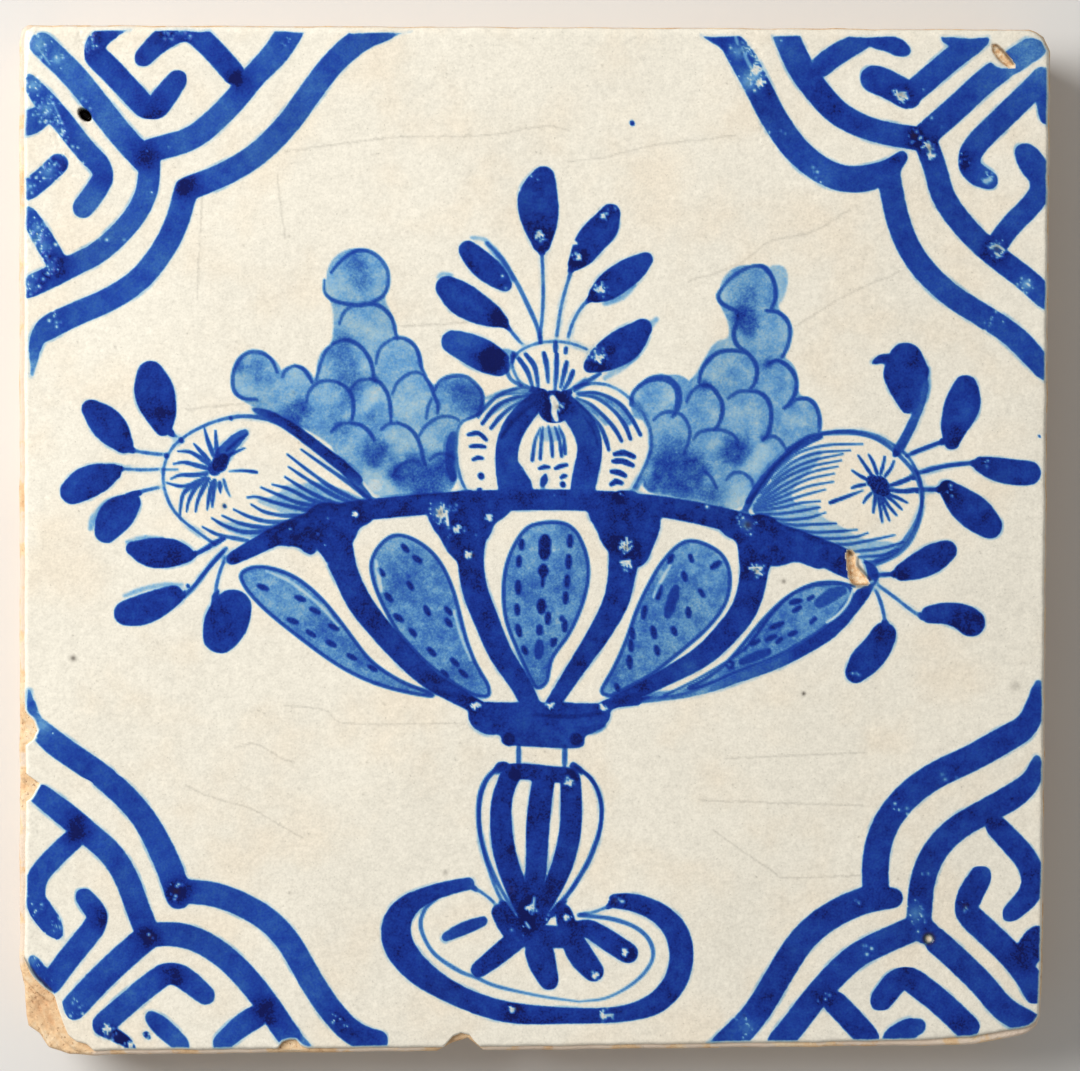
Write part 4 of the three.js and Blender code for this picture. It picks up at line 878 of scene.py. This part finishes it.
def paint_line(layer, area, width, amount, text):
    """Lines in a layer, or strokes of ink. A width or amount is one number, or one for each end."""
    for number, part in enumerate(text.split("|")):
        samples = smooth_line(places(area, part), 1)
        along = np.linspace(0, 1, len(samples))
        ends = 0.76 + 0.24 * smoothstep(0, 0.25, np.minimum(along, 1 - along))
        wobble = 1 + 0.12 * ripple(along * 9, number + samples[0, 0], 1)
        samples[:, 2] = np.interp(along, (0, 1), np.broadcast_to(width, 2)) * ends * wobble
        shares = np.interp(along, (0, 1), np.broadcast_to(amount, 2))
        for a, b, share in zip(samples, samples[1:], shares):
            where, inside = net.capsule(a, b, 0.3)
            if layer == "ink":
                merge_ink(where, inside, share)
            else:
                soft = SOFTNESS[layer]
                raise_to(layer, where, share * smoothstep(-soft, soft, inside))


def paint_lines(layer, table):
    for row in entries(table):
        paint_line(layer, *row)


def paint_brush_lines(bold):
    """The brush lines: the wide ones join the ink, the fine ones lie over it."""
    for table in BRUSH_LINES:
        for area, width, amount, text in entries(table):
            if (np.max(width) >= STROKE_WIDTH) == bold:
                paint_line("ink" if bold else "line", area, width, amount, text)


def paint_wash_shapes():
    for area, amount, outline in entries(WASH_SHAPES):
        where, inside = within(area, outline)
        raise_to("wash", where, amount * smoothstep(-0.2, 0.2, inside))


def paint_spots(layer, table):
    """Soft changes of darkness, which show in a wash only where there is one."""
    for x, y, radius, change in spots_of(table):
        if change < 0 and layer == "wash":
            radius, change = radius * PALER_SPREAD, change * PALER_SHARE
        where, strength = spot(x, y, radius)
        if layer == "wash":
            strength = strength * np.minimum(1, layers["wash"][where] / FULL_WASH)
        layers[layer][where] += change / 100 * strength


def paint_dots():
    for area, radius, amount, text in entries(DOTS):
        for x, y in places(area, text):
            touch = np.array([x, y, radius * 2])
            where, inside = net.capsule(touch, touch + (0.05, 0.12, 0), 0.2)
            raise_to("line", where, amount * smoothstep(-0.13, 0.14, inside))


def paint_pit(x, y, size):
    """A little crater painted pale, partly as a highlight glint, or nothing off the tile."""
    where, strength = spot(x, y, size)
    if strength.size:
        raise_to("pale", where, rng.uniform(*PIT_PALENESS) * strength)
        height[where] -= rng.uniform(*PIT_DEPTH) * strength


def paint_pits():
    """Clusters of burst bubbles in darker paint, their pits painted pale partly as highlight glints."""
    for x, y, around, count in spots_of(PITS):
        if around < SCATTERED:
            where, strength = spot(x, y, 1.3 * around + 0.3)
            layers["tone"][where] += PIT_POOL * strength
        if around < SCATTERED and count > FEW_PITS:
            where, strength = spot(x, y, 0.6 * around)
            raise_to("pale", where, PIT_HAZE * strength)
        for _ in range(int(PIT_SHARE * count)):
            angle = rng.uniform(0, 2 * math.pi)
            away = math.sqrt(rng.uniform(0, 1)) * around
            size = rng.uniform(*PIT_SIZE)
            paint_pit(x + away * math.cos(angle), y + away * math.sin(angle), size)


def paint_star(x, y, reach):
    """A white star of short crossing lines: scratches, and painted highlight glints."""
    for _ in range(SCRATCHES_AND_GLINTS):
        angle, half = rng.uniform(0, math.pi), reach * rng.uniform(0.3, 0.9)
        middle = np.array([x, y]) + rng.normal(0, 0.28 * reach, 2)
        away = half * np.array([math.cos(angle), math.sin(angle)])
        ends = [np.append(middle + side * away, rng.uniform(*SCRATCH_AND_GLINT_WIDTH)) for side in (-1, 1)]
        where, inside = net.capsule(*ends, 0.3)
        raise_to("pale", where, rng.uniform(0.8, 1) * smoothstep(-0.12, 0.14, inside))


def paint_stars():
    for x, y, reach in spots_of(STARS):
        paint_star(x, y, reach)


def paint_marks():
    for x, y, radius, amount in spots_of(MARKS):
        where, strength = spot(x, y, radius)
        raise_to("dark", where, amount / 100 * strength)


def paint_craze():
    """Fine cracks that tremble a little."""
    for part in CRAZE.split("|"):
        samples = smooth_line(places("photo", part), 0.1)
        samples[:, :2] += rng.normal(0, 0.05, (len(samples), 2))
        for a, b in zip(samples, samples[1:]):
            where, inside = net.capsule(a, b, 0.3)
            raise_to("craze", where, smoothstep(-0.16, 0.04, inside))


def paint_grit():
    """Dark grains in the glaze, all over it."""
    for x, y in rng.uniform(*GRAIN_FIELD, (GRAINS, 2)):
        where, strength = spot(x, y, rng.uniform(*GRAIN_SIZE))
        raise_to("dark", where, rng.uniform(*GRAIN_DARKNESS) ** 1.3 * strength)


def trim_paint():
    """Keeps the washes within their range, and the paint off the edges."""
    wash = np.clip(layers["wash"], 0, DARKEST_WASH)
    layers["wash"] = np.where(wash > 0.2, np.maximum(wash, PALEST_WASH), wash)
    top_margin = np.interp(net.x, (10, 90), TOP_MARGIN) + 0.15 * ripple(net.x, 6)
    free = np.minimum(rim - PAINT_MARGIN, net.y - net.y[:1] - top_margin)
    layers["ink"] = np.minimum(layers["ink"], free)
    layers["line"] *= smoothstep(-0.1, 0.2, free)


def cut_chips():
    """Chips that show bare clay, with dark lines along them: cracks, and painted shade on their walls."""
    for area, depth, slope, outline in entries(CHIPS):
        where, inside = within(area, outline)
        height[where] -= depth * smoothstep(-0.02, slope, inside)
        raise_to("bare", where, smoothstep(-0.05, 0.12, inside))
    paint_lines("dark", CRACKS_AND_SHADE)


def cut_nail_hole():
    """The deep hole slants down to the right, with a burr on its left, and painted shade darkens its inside.
    """
    across, down = net.x - NAIL_HOLE[0], net.y - NAIL_HOLE[1]
    long_way, short_way = (across + down) / math.sqrt(2), (across - down) / math.sqrt(2)
    share = np.hypot(long_way / HOLE_AXES[0], short_way / HOLE_AXES[1])
    height[EVERYWHERE] -= HOLE_DEPTH * fade(0.7, 1.15, share)
    away_x, away_y = net.x - HOLE_BURR[0], net.y - HOLE_BURR[1]
    height[EVERYWHERE] += 0.12 * np.exp(-(away_x ** 2 + away_y ** 2) / 0.2)
    # Painted shade: the whole inside of the hole is darkened
    raise_to("dark", EVERYWHERE, fade(0.93, 1.14, share))


def cut_nail_dent():
    """The shallow dent has a dark ring on its slope round a clay-coloured middle."""
    away = from_place(NAIL_DENT, net.x, net.y)
    height[EVERYWHERE] -= DENT_DEPTH * fade(0.3, 0.65, away)
    raise_to("dark", EVERYWHERE, 0.85 * np.exp(-((away - 0.58) / 0.26) ** 2))
    raise_to("bare", EVERYWHERE, 0.45 * fade(0.2, 0.42, away))


# The order counts: each later layer lies over the earlier ones, and random draws follow each other
paint_solids()
paint_brush_lines(True)
layers["tone"] = tone_sum / tone_weight
paint_wash_shapes()
paint_spots("tone", TONE_SPOTS)
paint_spots("wash", WASH_SPOTS)
paint_lines("wash", WASH_LINES)
paint_brush_lines(False)
paint_lines("line", DASHES)
paint_dots()
paint_pits()
paint_lines("pale", PALE_LINES)
paint_stars()
paint_marks()
paint_craze()
paint_grit()
trim_paint()
cut_chips()
cut_nail_hole()
cut_nail_dent()
unglazed = layers["bare"] > 0.4
layers["ink"] = np.where(unglazed, NO_INK, layers["ink"])
layers["line"] = np.where(unglazed, 0, layers["line"])

# Meshes


def to_metres(x, y, z):
    return np.stack([(x - SHEET_CENTRE[0]) * METRE, (SHEET_CENTRE[1] - y) * METRE, z * METRE], axis=-1)


def quads_of(grid):
    """Faces of a grid of point numbers, facing up."""
    corners = [grid[:-1, :-1], grid[1:, :-1], grid[1:, 1:], grid[:-1, 1:]]
    return np.stack(corners, axis=-1).reshape(-1, 4)


def band_between(upper, lower):
    """Faces of a closed wall between two rings of point numbers, facing out."""
    return np.stack([upper, np.roll(upper, -1), np.roll(lower, -1), lower], axis=-1)


def add_object(name, data):
    obj = bpy.data.objects.new(name, data)
    bpy.context.scene.collection.objects.link(obj)
    return obj


def make_piece(name, points, faces, uv=None):
    """A smooth mesh from points and a list of arrays of faces, each array with faces of one size."""
    corners = np.concatenate([part.ravel() for part in faces])
    sizes = np.concatenate([np.full(len(part), part.shape[1]) for part in faces])
    mesh = bpy.data.meshes.new(name)
    mesh.vertices.add(len(points))
    mesh.vertices.foreach_set("co", points.astype(np.float32).ravel())
    mesh.loops.add(len(corners))
    mesh.loops.foreach_set("vertex_index", corners.astype(np.int32))
    mesh.polygons.add(len(sizes))
    mesh.polygons.foreach_set("loop_start", (np.cumsum(sizes) - sizes).astype(np.int32))
    mesh.polygons.foreach_set("use_smooth", np.ones(len(sizes), bool))
    if uv is not None:
        mesh.uv_layers.new(name="OFBake").data.foreach_set("uv", uv(corners).astype(np.float32).ravel())
    mesh.update(calc_edges=True)
    piece = add_object(name, mesh)
    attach(piece, "root")
    return piece


def add_layer(piece, name, values):
    """Numbers on the first points of a piece, and 0 on the others."""
    layer = piece.data.attributes.new(name, "FLOAT", "POINT")
    padded = np.zeros(len(piece.data.vertices), np.float32)
    padded[: values.size] = values.ravel()
    layer.data.foreach_set("value", padded)


def near_breaks(x, y):
    """1 where the glaze has broken off, 0 where it rounds over the edge."""
    return np.max([fade(0.6, 1, from_place(place, x, y) / place[2]) for place in BREAKS], axis=0)


def under(place, room, x, y):
    """1 under a hole or chip, where glaze and clay make room for it, and 0 away from it."""
    return fade(*room, from_place(place, x, y))


def glaze_heights():
    """The face curls down at its edges, swells a little and carries the paint."""
    lip = 0.5 + 0.6 * fade(5.5, 8.5, net.y)
    lip = lip * (1 - 0.72 * near_breaks(net.x, net.y))
    curl = np.sqrt(1 - (1 - np.clip(rim / lip, 0, 1)) ** 2)
    swell = 0.05 * np.sin(net.x / 9 + 1) * np.sin(net.y / 11 + 2)
    swell = swell + 0.03 * np.sin(net.x / 3.7 + net.y / 5.1)
    paint = INK_BODY * smoothstep(-0.1, 0.3, layers["ink"]) + LINE_BODY * layers["line"]
    low_edge = BODY_TOP + 0.04
    return low_edge + (FACE - low_edge) * curl + (swell + paint) * smoothstep(0, 2.2, rim) + height


def border_cells(grid, back, lip):
    """Faces along the border of the underside, which take in every fine point of the lip."""
    cells = []
    last = len(back) - 1
    for row, col in np.ndindex(last, last):
        if 0 < row < last - 1 and 0 < col < last - 1:
            continue
        down = slice(row * BACK_STEP, (row + 1) * BACK_STEP + 1)
        across = slice(col * BACK_STEP, (col + 1) * BACK_STEP + 1)
        top = lip[grid[0, across]][:-1] if row == 0 else back[row, col:col + 1]
        right = lip[grid[down, -1]][:-1] if col == last - 1 else back[row, col + 1:col + 2]
        low = lip[grid[-1, across]][:0:-1] if row == last - 1 else back[row + 1, col + 1:col + 2]
        left = lip[grid[down, 0]][:0:-1] if col == 0 else back[row + 1, col:col + 1]
        cells.append(np.concatenate([top, right, low, left])[None, :])
    return cells


def glaze_piece():
    """A fine net for the face, a coarse one for the underside, and a lip that joins them."""
    z = glaze_heights()
    grid = np.arange(z.size).reshape(z.shape)
    ring = ring_of(grid)
    lip = np.zeros(z.size, int)
    lip[ring] = z.size + np.arange(len(ring))

    step = slice(None, None, BACK_STEP)
    x, y = net.x[step, step], net.y[step, step]
    low = np.minimum(BODY_TOP, z[step, step] - 0.25)
    low = low - UNDER_HOLE * under(NAIL_HOLE, ROOM_FOR_HOLE, x, y)
    low = low - UNDER_CHIP * under(RIM_CHIP, ROOM_FOR_RIM_CHIP, x, y)
    inner = to_metres(x, y, low)[1:-1, 1:-1]
    first_inner = z.size + len(ring)
    back = lip[grid[step, step]]
    back[1:-1, 1:-1] = first_inner + np.arange(inner[..., 0].size).reshape(inner.shape[:2])

    foot = to_metres(net.x.ravel()[ring], net.y.ravel()[ring], np.full(len(ring), BODY_TOP - 0.3))
    points = np.vstack([to_metres(net.x, net.y, z).reshape(-1, 3), foot, inner.reshape(-1, 3)])
    flat = points[:, :2] / METRE / TILE
    lip_out = foot[:, :2] / np.linalg.norm(foot[:, :2], axis=1, keepdims=True) * 0.006
    face_corners = 4 * ((z.shape[0] - 1) ** 2 + len(ring))

    def uv(corners):
        """The face fills the map, with the lip round it, and the underside is a small patch."""
        place = 0.5 + flat * 0.94
        place[z.size:first_inner] += lip_out
        result = place[corners]
        result[face_corners:] = 0.988 + flat[corners[face_corners:]] * 0.016
        return result

    faces = [quads_of(grid), band_between(ring, lip[ring]), quads_of(back[1:-1, 1:-1])[:, ::-1]]
    return make_piece("glaze_coat", points, faces + border_cells(grid, back, lip), uv)


def spaced(*stretches):
    """Shares from 0 to 1 across the tile, from stretches of: start, end and spacing in millimetres."""
    marks = np.concatenate([np.arange(start, end, gap) for start, end, gap in stretches])
    marks = np.append(marks, stretches[-1][1])
    return (marks - marks[0]) / (marks[-1] - marks[0])


def clay_heights(slab, near):
    """The slab's upper side: rounded at its edges, broken where the glaze is, and low under the holes."""
    x, y = slab.x, slab.y
    inside = slab.signed([slab.border()])[1]
    beyond = -slab.signed([net.border()[::4]], margin=9, reach=9)[1]
    curl = ARRIS * (1 - np.sqrt(1 - (1 - np.clip(inside / ARRIS, 0, 1)) ** 2))
    fracture = 0.4 * smoothstep(0, 0.3, beyond) + 0.7 * smoothstep(0.2, 3.2, beyond)
    fracture = fracture + 0.08 * lumps(x, y, 3, 1.3) + 0.1 * lumps(x, y, 5, 0.5) + 0.06 * lumps(x, y, 6, 0.25)
    z = BODY_TOP - 0.06 - curl - near * smoothstep(0.05, 0.4, beyond) * np.clip(fracture, 0, 2)
    z -= BODY_HOLE * under(NAIL_HOLE, ROOM_FOR_HOLE, x, y)
    z -= BODY_CHIP * under(RIM_CHIP, ROOM_FOR_RIM_CHIP, x, y)
    z -= BODY_CHIP * under(CORNER_CHIP, ROOM_FOR_CORNER_CHIP, x, y)
    return z


def rough_wall(upper, lower):
    """Rings of points between two edges of the slab, pushed out and in."""
    around = np.cumsum(np.linalg.norm(np.diff(upper, axis=0, append=upper[:1]), axis=1)) / METRE
    outward = upper[:, :2] / np.linalg.norm(upper[:, :2], axis=1, keepdims=True)
    for number in range(1, WALL_STEPS):
        share = number / WALL_STEPS
        level = upper * (1 - share) + lower * share
        rough = 0.28 * lumps(around, share * 12, 7, 2.6) + 0.12 * lumps(around, share * 12, 8, 0.9)
        rough = (rough - 0.2) * math.sin(math.pi * share) ** 0.5
        level[:, :2] += outward * rough[:, None] * METRE
        yield level


def clay_piece():
    """A closed slab: fine rows near its edges, an undercut rough wall and a rough back."""
    across = spaced((2.4, 13, 0.22), (13, 104, 2), (104, 110, 0.4), (110, 124, 2), (124, 131.4, 0.35))
    down = spaced((3.1, 11, 0.35), (11, 67, 2), (67, 75, 0.4), (75, 88, 1.5), (88, 102, 0.3),
                  (102, 117, 1.5), (117, 132.1, 0.22))
    slab = Net(CLAY, across, down, CLAY_WANDER)
    x, y = slab.x, slab.y
    near = near_breaks(x, y)
    top = to_metres(x, y, clay_heights(slab, near)).reshape(-1, 3)

    shrink = 1 - 2 * UNDERCUT / TILE
    low_x = SHEET_CENTRE[0] + (x - SHEET_CENTRE[0]) * shrink
    low_y = SHEET_CENTRE[1] + (y - SHEET_CENTRE[1]) * shrink
    low_z = np.maximum(0, 0.3 + 0.22 * lumps(x, y, 1, 9) + 0.08 * lumps(x, y, 2, 2.5))
    low = to_metres(low_x, low_y, low_z).reshape(-1, 3)

    grid = np.arange(x.size).reshape(x.shape)
    ring = ring_of(grid)
    walls = list(rough_wall(top[ring], low[ring]))
    wall_rings = [2 * x.size + number * len(ring) + np.arange(len(ring)) for number in range(len(walls))]
    rings = [ring, *wall_rings, ring + x.size]
    faces = [quads_of(grid), quads_of(grid + x.size)[:, ::-1]]
    faces += [band_between(upper, lower) for upper, lower in zip(rings, rings[1:])]
    piece = make_piece("clay_slab", np.vstack([top, low] + walls), faces)
    add_layer(piece, "broken", near)
    return piece


# Materials


def linear(colour):
    """Red, green and blue of 0 to 255 as light values."""
    shares = [c / 255 for c in colour]
    return tuple(c / 12.92 if c < 0.04045 else ((c + 0.055) / 1.055) ** 2.4 for c in shares) + (1.0,)


class Shade:
    """Short names for the nodes of one material."""

    def __init__(self, name):
        self.material = bpy.data.materials.new(name)
        self.material.use_nodes = True
        self.tree = self.material.node_tree
        self.surface = self.tree.nodes["Principled BSDF"]
        self.place = self.node("TexCoord").outputs["Object"]

    def node(self, kind):
        return self.tree.nodes.new("ShaderNode" + kind)

    def put(self, socket, value):
        if isinstance(value, bpy.types.NodeSocket):
            self.tree.links.new(value, socket)
        else:
            socket.default_value = value

    def set(self, name, value):
        """Sets an input of the surface."""
        self.put(self.surface.inputs[name], value)

    def layer(self, name):
        node = self.node("Attribute")
        node.attribute_name = name
        return node.outputs["Fac"]

    def math(self, operation, a, b):
        node = self.node("Math")
        node.operation = operation
        self.put(node.inputs[0], a)
        self.put(node.inputs[1], b)
        return node.outputs[0]

    def add(self, *terms):
        total = terms[0]
        for term in terms[1:]:
            total = self.math("ADD", total, term)
        return total

    def times(self, *factors):
        total = factors[0]
        for factor in factors[1:]:
            total = self.math("MULTIPLY", total, factor)
        return total

    def weigh(self, start, *parts):
        """A start, plus each part times its weight."""
        return self.add(start, *(self.times(value, weight) for value, weight in parts))

    def less(self, value):
        return self.math("SUBTRACT", 1.0, value)

    def step(self, low, high, value):
        node = self.node("MapRange")
        node.interpolation_type = "SMOOTHSTEP"
        self.put(node.inputs["Value"], value)
        self.put(node.inputs["From Min"], low)
        self.put(node.inputs["From Max"], high)
        return node.outputs["Result"]

    def noise(self, size, detail=3.0, rough=0.55):
        """Noise of about 0 to 1 with lumps of the given size in millimetres."""
        node = self.node("TexNoise")
        self.put(node.inputs["Vector"], self.place)
        self.put(node.inputs["Scale"], 1 / (size * METRE))
        self.put(node.inputs["Detail"], detail)
        self.put(node.inputs["Roughness"], rough)
        return node.outputs["Fac"]

    def wave(self, size, amount, detail=2.0):
        """Noise about zero, times an amount."""
        return self.times(self.math("SUBTRACT", self.noise(size, detail), 0.5), 2 * amount)

    def ramp(self, value, stops):
        node = self.node("ValToRGB")
        self.put(node.inputs["Fac"], value)
        elements = node.color_ramp.elements
        while len(elements) < len(stops):
            elements.new(0.5)
        for element, (position, colour) in zip(elements, stops):
            element.position = position
            element.color = linear(colour)
        return node.outputs["Color"]

    def mix(self, share, a, b, kind="MIX"):
        node = self.node("Mix")
        node.data_type = "RGBA"
        node.blend_type = kind
        self.put(node.inputs[0], share)
        self.put(node.inputs[6], a)
        self.put(node.inputs[7], b)
        return node.outputs[2]

    def grey(self, value):
        node = self.node("CombineColor")
        for socket in node.inputs[:3]:
            self.put(socket, value)
        return node.outputs[0]

    def bump(self, value, distance, strength):
        node = self.node("Bump")
        self.put(node.inputs["Strength"], strength)
        self.put(node.inputs["Distance"], distance * METRE)
        self.put(node.inputs["Height"], value)
        self.set("Normal", node.outputs["Normal"])


def pigment(shade, fine, coarse):
    """Amount of cobalt: bold ink with a pale fringe, washes and fine lines, worn through or painted white as
    highlight glints where pale.
    """
    edge = shade.add(shade.layer("ink"), shade.wave(0.9, 0.07), shade.wave(0.25, 0.04))
    tone = shade.weigh(shade.layer("tone"), (coarse, 0.2), (fine, 0.17), (shade.wave(4.5, 1.0), 0.14))
    bold = shade.times(shade.step(-0.2, 0.17, edge), tone)
    fringe = shade.weigh(0.06, (shade.step(0.45, 0.7, shade.noise(3.5, 2.0)), 0.2))
    bold = shade.math("MAXIMUM", bold, shade.times(shade.step(-0.52, -0.1, edge), fringe))
    wash = shade.times(shade.layer("wash"), shade.weigh(1.0, (coarse, 0.6), (fine, 0.45)))
    line = shade.times(shade.layer("line"), shade.weigh(1.0, (fine, 0.3)))
    clear = shade.times(shade.less(bold), shade.less(wash), shade.less(line))
    return shade.times(shade.less(clear), shade.less(shade.layer("pale")))


def aged(shade, colour, fine, coarse):
    """The colour with warm clouds, specks and cracks, bare clay, and dirt with painted shade."""
    cloud = shade.step(0.42, 0.72, shade.noise(11, 3.0))
    colour = shade.mix(shade.times(cloud, 0.42), colour, linear(WARM_CLOUD), "MULTIPLY")
    glow = shade.weigh(shade.add(0.975, shade.wave(16, 0.06)), (coarse, 0.1))
    glow = shade.weigh(shade.add(glow, shade.wave(0.6, 0.12)), (fine, 0.17))
    specks = shade.step(0.64, 0.76, shade.noise(0.45, 2.0, 0.7))
    glow = shade.weigh(glow, (specks, -0.2), (shade.layer("craze"), -0.18))
    colour = shade.mix(1.0, colour, shade.grey(glow), "MULTIPLY")
    colour = shade.mix(shade.layer("bare"), colour, shade.ramp(shade.noise(0.6), CLAY_TONES))
    # The dark layer: marks and grains, and painted shade in the nail hole and along the chips' walls
    return shade.mix(shade.layer("dark"), colour, linear(DIRT_AND_SHADE))


def glaze_material():
    shade = Shade("tin_glaze_and_cobalt")
    fine, coarse = shade.wave(0.28, 1.0), shade.wave(1.5, 1.0, 4.0)
    colour = shade.ramp(pigment(shade, fine, coarse), COBALT)
    shade.set("Base Color", aged(shade, colour, fine, coarse))
    rough = shade.weigh(0.24, (coarse, 0.1), (shade.layer("bare"), 0.6), (shade.layer("pale"), 0.2))
    shade.set("Roughness", rough)
    shade.set("Specular IOR Level", 0.2)
    shade.bump(shade.add(shade.times(coarse, 0.6), shade.times(fine, 0.5)), 0.04, 0.6)
    return shade.material


def clay_material():
    """Mottled clay with darker grains, more of them where the glaze broke off, there partly painted shade,
    and a pale smear of glaze below the upper edge.
    """
    shade = Shade("fired_clay")
    mottle = shade.times(shade.noise(5.0, 5.0, 0.6), 0.62)
    colour = shade.ramp(shade.weigh(mottle, (shade.noise(0.7, 5.0, 0.7), 0.38)), CLAY_TONES)
    grit_and_shade = shade.step(0.6, 0.7, shade.noise(0.4, 2.0))
    broken = shade.layer("broken")
    # More dark grains where the glaze broke off, partly painted shade in the rough break
    grit_and_shade = shade.add(shade.times(grit_and_shade, 0.4), shade.times(grit_and_shade, broken, 0.35))
    colour = shade.mix(grit_and_shade, colour, linear(GRIT_AND_SHADE))
    axes = shade.node("SeparateXYZ")
    shade.put(axes.inputs[0], shade.place)
    level = shade.add(shade.times(axes.outputs["Z"], 1 / METRE), shade.wave(3.2, 3.4, 4.0))
    smear = shade.times(shade.step(11.3, 11.9, level), shade.less(shade.step(0.0, 0.25, broken)))
    colour = shade.mix(shade.times(smear, 0.8), colour, linear(GLAZE_SMEAR))
    shade.set("Base Color", colour)
    shade.set("Roughness", 0.86)
    shade.bump(shade.noise(0.5, 6.0, 0.7), 0.2, 0.9)
    return shade.material


def floor_material():
    shade = Shade("pale_floor")
    shade.set("Base Color", linear(FLOOR_GREY))
    shade.set("Roughness", 0.9)
    return shade.material


# The two pieces

glaze = glaze_piece()
for name, values in layers.items():
    add_layer(glaze, name, values)
glaze.data.materials.append(glaze_material())

clay = clay_piece()
clay.data.materials.append(clay_material())

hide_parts(*[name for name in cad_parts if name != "clay_body"])
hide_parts("clay_body")

# Floor, lamps and camera

floor_mesh = bpy.data.meshes.new("floor")
floor_corners = [(x * FLOOR_HALF, y * FLOOR_HALF, 0) for x, y in ((-1, -1), (1, -1), (1, 1), (-1, 1))]
floor_mesh.from_pydata(floor_corners, [], [(0, 1, 2, 3)])
floor = add_object("floor", floor_mesh)
floor.data.materials.append(floor_material())

world = bpy.data.worlds.new("studio")
world.use_nodes = True
background = world.node_tree.nodes["Background"]
background.inputs["Color"].default_value = (1, 1, 1, 1)
background.inputs["Strength"].default_value = WORLD_STRENGTH
bpy.context.scene.world = world


def add_lamp(name, place, size, power):
    """A square lamp that points at the middle of the tile's back."""
    data = bpy.data.lights.new(name, "AREA")
    data.size = size
    data.energy = power
    lamp = add_object(name, data)
    lamp.location = place
    lamp.rotation_euler = (-lamp.location).to_track_quat("-Z", "Y").to_euler()


add_lamp("key", (-0.44, 0.24, 0.47), 0.4, 5.2)
add_lamp("fill", (0.6, -0.3, 0.6), 0.6, 0.4)

camera_data = bpy.data.cameras.new("camera")
camera_data.sensor_width = SENSOR
camera_data.lens = SENSOR * (CAMERA_PLACE[2] - FACE * METRE) / VIEW_WIDTH
camera_data.clip_start = 0.01
camera = add_object("camera", camera_data)
camera.location = CAMERA_PLACE
bpy.context.scene.camera = camera
bpy.context.scene.view_settings.view_transform = "Standard"
